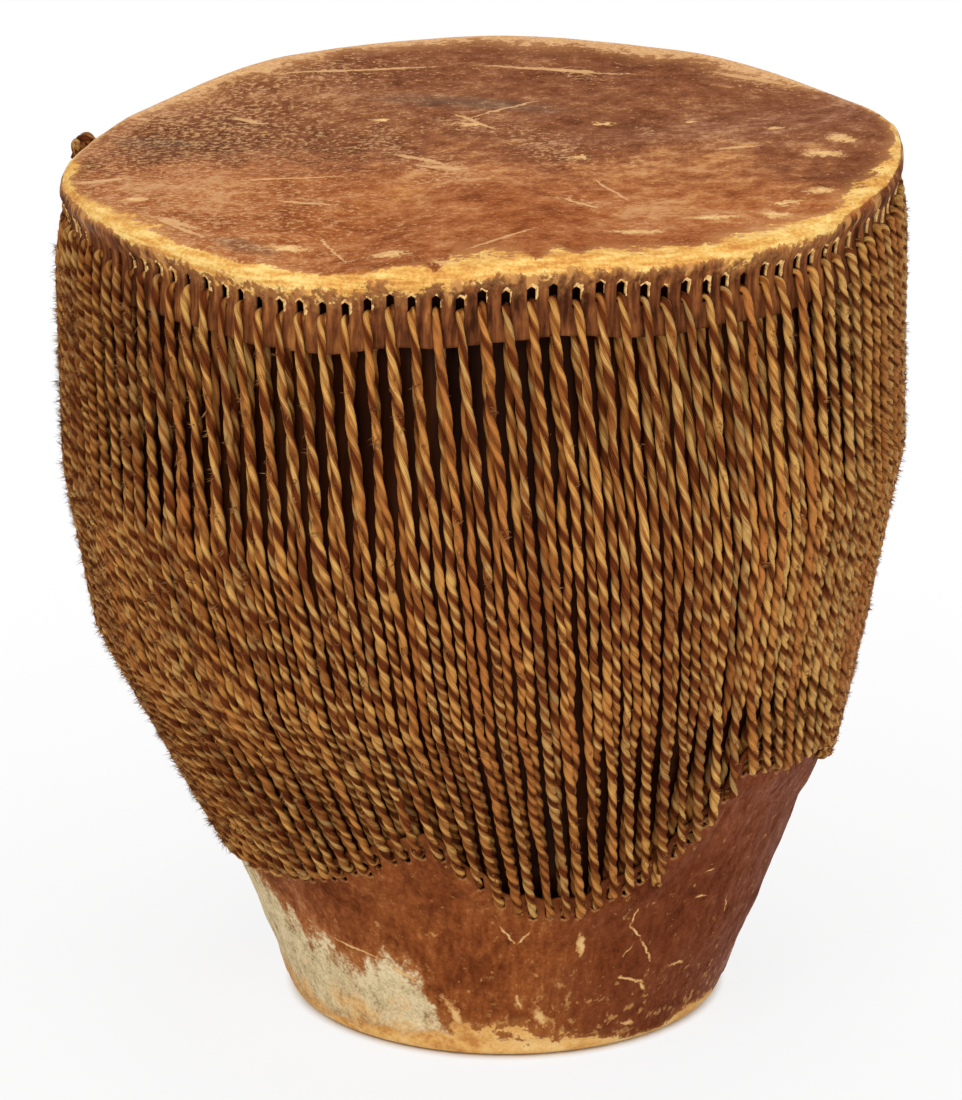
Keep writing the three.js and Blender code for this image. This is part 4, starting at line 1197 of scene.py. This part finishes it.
# Marks on the foot, each its two ends as degrees and mm up, and its half width in mm. Degrees
# are laid out at this radius.
FOOT_ARC = 110.0
FOOT_MARKS = [
    (228.4, 58, 242, 52.5, 0.6), (242.5, 50, 249, 44, 1.0), (284.7, 71.5, 285.1, 60.5, 1.5),
    (268, 79.5, 271.4, 68, 0.5), (271.4, 68, 273.7, 76, 0.5), (296.4, 82.5, 295.4, 74, 0.5),
    (295.4, 74, 298.3, 65.5, 0.5), (298.3, 65.5, 302.7, 50.5, 0.6), (297.5, 63.5, 295.5, 56, 0.4),
    (294.9, 44, 302.8, 36.5, 0.8), (301.8, 36, 303.2, 33, 0.9), (311.0, 95.4, 313.6, 95.3, 0.5),
    (310.6, 81, 313.2, 80.5, 0.6), (321.5, 74, 322.5, 66, 0.5), (309.4, 43.4, 313.4, 42.5, 0.9),
    (277, 27, 279, 20, 2.4), (256, 31, 259, 19, 2.2), (272, 36, 273.5, 30, 1.0),
    (299, 14, 303, 12, 1.4),
]


def foot_material():
    look = Look(bpy.data.materials.new("short_haired_foot_hide"))
    at = look.place()
    x, _, z = look.split(at)
    chart = look.combine(look.value("around"), z, 0.0)
    pale_side, worn_side, lip = (look.value(name) for name in ("pale_side", "worn_side", "lip"))
    broad = look.noise(at, 22, 3, 0.55)
    coarse = look.noise(at, 95, 4, 0.6)
    fine = look.noise(at, 560, 3, 0.65)
    stroke = look.grain((300, 300, 60), 4, 0.6)
    slant = look.grain((150, 150, 70), 4, 0.6, turn=(0.5, 0.25, 0))

    tone = look.total(0.5, (broad, 0.8), (stroke, 0.7), (coarse, 0.5), (fine, 0.45))
    middle = look.ramp(tone, (0.22, 92, 42, 18), (0.45, 128, 66, 30), (0.62, 152, 84, 40),
                       (0.88, 196, 132, 70))
    dark = look.ramp(tone, (0.2, 78, 34, 16), (0.45, 112, 54, 27), (0.65, 128, 66, 34),
                     (0.9, 162, 98, 56))
    colour = look.over(middle, dark, look.total(x, (broad, 0.1), (coarse, 0.03)), 0.015, 0.06)

    # flecks of bare hide, thicker towards the foot
    fleck = look.grain((230, 230, 170), 4, 0.65) + look.step(z, 0.055, 0.008) * 0.085
    colour = look.over(colour, rgb(214, 160, 94), fleck, 0.62, 0.72, 0.6)

    # hide without its dark hair at the lower left, cream with grey-green and tan mottling
    mottle = look.total(0.5, (slant, 1.0), (coarse, 0.8), (fine, 1.1))
    pale = look.ramp(mottle, (0.12, 150, 122, 86), (0.34, 204, 182, 138), (0.58, 232, 211, 166),
                     (0.85, 246, 226, 184))
    tan = look.ramp(mottle, (0.2, 176, 118, 62), (0.5, 222, 170, 102), (0.8, 242, 204, 142))
    warm = look.total(look.math("SUBTRACT", 0.026, z), (broad, 0.16), (coarse, 0.08))
    pale = look.over(pale, tan, warm, -0.008, 0.03)
    pale_edge = look.total(pale_side, (slant, 46), (coarse, 20), (broad, 20), (fine, 22))
    colour = look.over(colour, rgb(190, 120, 62), pale_edge, -17, 0, 0.55)
    colour = look.over(colour, pale, pale_edge, -5, 9)

    # the worn edge where the hide turns under
    edge = look.total(worn_side, (coarse, 2.6), (fine, 0.9), (broad, 1.2))
    rind = look.total(0.5, (coarse, 1.2), (broad, 0.8), (fine, 0.5))
    bare = look.ramp(rind, (0.2, 206, 142, 76), (0.45, 238, 188, 112), (0.75, 252, 218, 152))
    colour = look.over(colour, rgb(196, 134, 74), edge, 1.7, 0.9, 0.35)
    colour = look.over(colour, bare, edge, 1.08, 0.86)

    marks = [(math.radians(a) * FOOT_ARC, h1, math.radians(b) * FOOT_ARC, h2, half)
             for a, h1, b, h2, half in FOOT_MARKS]
    scratch = look.total(look.marks(look.warped(chart, 240, 0.0034), marks), (fine, 1.6), (stroke, 2.2))
    bald = look.over(rgb(208, 150, 88), rgb(246, 204, 138), scratch, 0.9, 0.2)
    colour = look.over(colour, bald, scratch, 1.2, 0.75, 0.85)
    cut_edge = look.total(lip, (fine, 0.9), (coarse, 1.2))
    colour = look.over(colour, rgb(190, 132, 78), cut_edge, 0.84, 1.0, 0.6)
    height = look.total(0.0, (fine, 0.6), (stroke, 0.8), (coarse, 0.6))
    return look.hide(colour, look.step(tone, 1.3, -0.1), look.bump(height, 0.0009, 0.7), 0.04)


# The shell's wood: its own dark colour, darkened further as painted shade for the deep gaps between the
# strands, where it shows.
def wood_and_gap_shade_material():
    look = Look(bpy.data.materials.new("carved_dark_wood_and_gap_shade"))
    grain = look.grain((18, 18, 2.2), 5, 0.6, size=3.0, distort=0.4)
    pore = look.grain((260, 260, 24), 3, 0.6)
    tone = look.total(0.5, (grain, 1.2), (pore, 0.5))
    colour = look.ramp(tone, (0.2, 28, 11, 4), (0.5, 48, 21, 8), (0.8, 74, 38, 16))
    return look.hide(colour, look.step(grain, 1.0, -0.4), look.bump(grain, 0.0012, 0.6), 0.02)


# Links and carrying loop: the loop turns about the line through its two eyes
LINKS = [("left_link_thong", "loop_link_left"), ("back_link_thong", "loop_link_back")]
LINK_ANGLES = np.radians([136.5, 154.5])
PIVOT_RADIUS = 209.914
PIVOT_HEIGHT = 398.8
LINK_OUTER = PIVOT_RADIUS + EYE_WIRE / 2 + LINK_PLAY + LINK_WIRE / 2
PIVOTS = place(PIVOT_RADIUS, LINK_ANGLES, PIVOT_HEIGHT)
SWING = PIVOTS.mean(0)
LOOP_HALF = float(np.linalg.norm(PIVOTS[1] - PIVOTS[0])) / 2
AXIS = (PIVOTS[1] - PIVOTS[0]) / (2 * LOOP_HALF)
LOOP_UP = unit(np.cross(np.cross(AXIS, (0, 0, 1)), AXIS))
LOOP_OUT = np.cross(AXIS, LOOP_UP)
LOOP_OUT = LOOP_OUT * np.sign(LOOP_OUT @ SWING)

# The back link's end is tied off in a knot on the rim
KNOT_ANGLE = math.radians(158.6)
KNOT_RADIUS = 209.2
KNOT_HEIGHT = 410.7
KNOT_LENGTH = 8.5
KNOT_TURN = 3.9

# Lays in mm of the link thongs, the rope's plies, its eyes and the rope itself, and how far in mm
# its plies lie off its middle
LINK_LAY = 15
PLY_LAY = 26
EYE_LAY = 22
ROPE_LAY = 46.0
ROPE_PLIES = 3
PLY_OFFSET = 2.95


def loop_at(side, out, up):
    side, out, up = np.broadcast_arrays(arr(side), arr(out), arr(up))
    return SWING + side[..., None] * AXIS + out[..., None] * LOOP_OUT + up[..., None] * LOOP_UP


def add_knot(mesh):
    """The thong comes out through the hide, winds round a core, and its end hangs down."""
    turn = np.linspace(-0.5 * np.pi, 4.4 * np.pi, 120)
    along = KNOT_ANGLE + (turn / turn[-1] - 0.5) * KNOT_LENGTH / ROLL_RADIUS
    wound = place(KNOT_RADIUS + KNOT_TURN * np.cos(turn), along, KNOT_HEIGHT + KNOT_TURN * np.sin(turn))
    stub = place(np.linspace(SKIRT_SLOT_INSIDE, KNOT_RADIUS - 1, 24), along[0], KNOT_HEIGHT - KNOT_TURN)
    tail_height = KNOT_HEIGHT + KNOT_TURN * np.sin(turn[-1]) - np.linspace(0.5, 9, 14)
    tail = place(KNOT_RADIUS + np.linspace(1.5, 3.5, 14), along[-1], tail_height)
    knot, _ = smoothed(even(np.vstack([stub, wound, tail]), 0.4), 0.7, 0.8)
    mesh.strand(knot, 0.86, LINK_LAY, 0.35, 1.7)
    core_angle = along[0] + (along[-1] - along[0]) * np.linspace(-0.3, 1.3, 16)
    mesh.strand(place(KNOT_RADIUS, core_angle, KNOT_HEIGHT), 1.2, LINK_LAY, 0.4, 0.9)


def build_links(material):
    """The two thong rings through the upper hide, from which the loop hangs."""
    middle = PIVOT_HEIGHT
    low, high = middle - LINK_HEIGHT / 2, middle + LINK_HEIGHT / 2
    bend = LINK_OUTER - LINK_WIRE
    inner = {h: float(shell_radius(h) + SKIRT_SLOT_INSIDE) / 2 - 0.2 for h in (low, middle, high)}
    radius, height = arr([
        (inner[middle], middle), (inner[high], high), (bend, high), (LINK_OUTER, high - LINK_WIRE),
        (LINK_OUTER, low + LINK_WIRE), (bend, low), (inner[low], low), (inner[middle], middle + 1.0),
    ]).T
    for (name, replaced), angle in zip(LINKS, LINK_ANGLES):
        line, _ = smoothed(even(place(radius, angle, height), 0.4), 1.0, 0.8)
        mesh = ThongMesh()
        mesh.strand(line, 0.56, LINK_LAY, 0.55, float(angle))
        if name == "back_link_thong":
            add_knot(mesh)
        piece = mesh.finish(name, material)
        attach(piece, "drum")
        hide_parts(replaced)


def build_loop(material):
    """Three thongs laid into a rope, bent to a U that hangs a little uneven, with an eye at each end."""
    foot = -2 * EYE_RADIUS - 2.0
    bottom = LOOP_HALF - LOOP_DROP
    turn = np.linspace(0, np.pi, 60)
    down = np.linspace(foot, bottom, 40)
    bow = LOOP_BOW * (foot - down) / (foot - bottom)
    left, right = loop_at(LOOP_HALF, bow, down), loop_at(-LOOP_HALF, bow, down)[::-1]
    arc = loop_at(LOOP_HALF * np.cos(turn), LOOP_BOW, bottom - LOOP_HALF * np.sin(turn))
    line, at = smoothed(np.vstack([left, arc[1:-1], right]), 4.0, 1.2)
    line = line + AXIS * (1.6 * np.sin(np.pi * at / at[-1]) * np.sin(at / 41))[:, None]
    normal, side = transported(line)
    mesh = ThongMesh()
    taper = eased(np.clip(np.minimum(at, at[-1] - at) / 9, 0, 1))
    offset = (PLY_OFFSET * (0.45 + 0.55 * taper))[:, None]
    for ply in range(ROPE_PLIES):
        angle = (at / ROPE_LAY * TURN + TURN * ply / ROPE_PLIES)[:, None]
        path = line + offset * (normal * np.cos(angle) + side * np.sin(angle))
        mesh.strand(path, 0.55 + 0.47 * taper, PLY_LAY, 0.35 + 0.2 * ply, 1.0 + ply)
    # an eye at each end, its legs running into the rope
    turn = np.linspace(-0.5 * np.pi + 0.2, 1.5 * np.pi - 0.2, 60)
    leg = np.linspace(-2 * EYE_RADIUS - 11, -2 * EYE_RADIUS - 0.5, 12)
    for end in (-1, 1):
        centre = end * LOOP_HALF
        ring = loop_at(centre + EYE_RADIUS * np.cos(turn), 0, -EYE_RADIUS + EYE_RADIUS * np.sin(turn))
        legs = loop_at(centre + 1.2, 0, leg), loop_at(centre - 1.2, 0, leg[::-1])
        eye, _ = smoothed(even(np.vstack([legs[0], ring, legs[1]]), 0.4), 1.2, 0.8)
        mesh.strand(eye, 0.9, EYE_LAY, 0.5, 2.0 + end)
    piece = mesh.finish("carry_rope", material)
    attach(piece, "loop")
    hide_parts("carry_loop")


FLOOR_HALF = 9000
FLOOR_HEIGHT = -0.0004
WHITE = (1, 1, 1, 1)
FLOOR_GREY = (0.9, 0.9, 0.9, 1)


def build_floor():
    """A floor that shows the camera a faint shadow near the drum, and plain white further off."""
    look = Look(bpy.data.materials.new("pale_floor"))
    distance = look.vector_math("LENGTH", {0: look.place()}, "Value")
    glow = look.step(distance, 0.14, 0.8) * 0.16 + look.step(distance, 0.1035, 0.111) * 0.84
    grey = look.node("ShaderNodeBsdfDiffuse", {"Color": FLOOR_GREY}).outputs[0]
    white = look.node("ShaderNodeEmission", {"Color": WHITE, "Strength": 1.0}).outputs[0]
    corners = [(x * FLOOR_HALF, y * FLOOR_HALF, 0) for x, y in ((-1, -1), (1, -1), (1, 1), (-1, 1))]
    floor = make_mesh("floor", corners, [[(0, 1, 2, 3)]])
    floor.location.z = FLOOR_HEIGHT
    dress(floor, look.seen_as(glow, grey, white))


def build_sky():
    look = Look(bpy.data.worlds.new("studio"), "ShaderNodeOutputWorld")
    light, white = (
        look.node("ShaderNodeBackground", {"Color": WHITE, "Strength": strength}).outputs[0]
        for strength in (0.5, 1.0)
    )
    bpy.context.scene.world = look.seen_as(None, light, white)


def lamp(name, at, target, size, power):
    data = bpy.data.lights.new(name, "AREA")
    data.shape = "RECTANGLE"
    data.size, data.size_y = size
    data.energy = power
    aim(add_object(name, data), at, target)


thong_look = thong_material()
lines = [build_thong(index, thong_look) for index in range(THONGS)]
build_hair(lines, hair_material())
build_upper_hide(head_material())
build_lower_hide(foot_material())
dress(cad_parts["wooden_shell"], wood_and_gap_shade_material())
build_tails(lines, thong_look)
build_links(thong_look)
build_loop(thong_look)
build_floor()
build_sky()
lamp("key", (-0.9, -2.0, 1.9), (0, 0, 0.25), (1.2, 1.2), 23)
lamp("fill", (1.4, -1.6, 1.1), (0, 0, 0.2), (1.4, 1.4), 10.5)
lamp("low", (0.1, -2.3, 0.32), (0, 0, 0.16), (1.8, 0.4), 5)
lamp("top", (0.1, 0.5, 2.4), (0, 0, 0.3), (1.6, 1.6), 15)
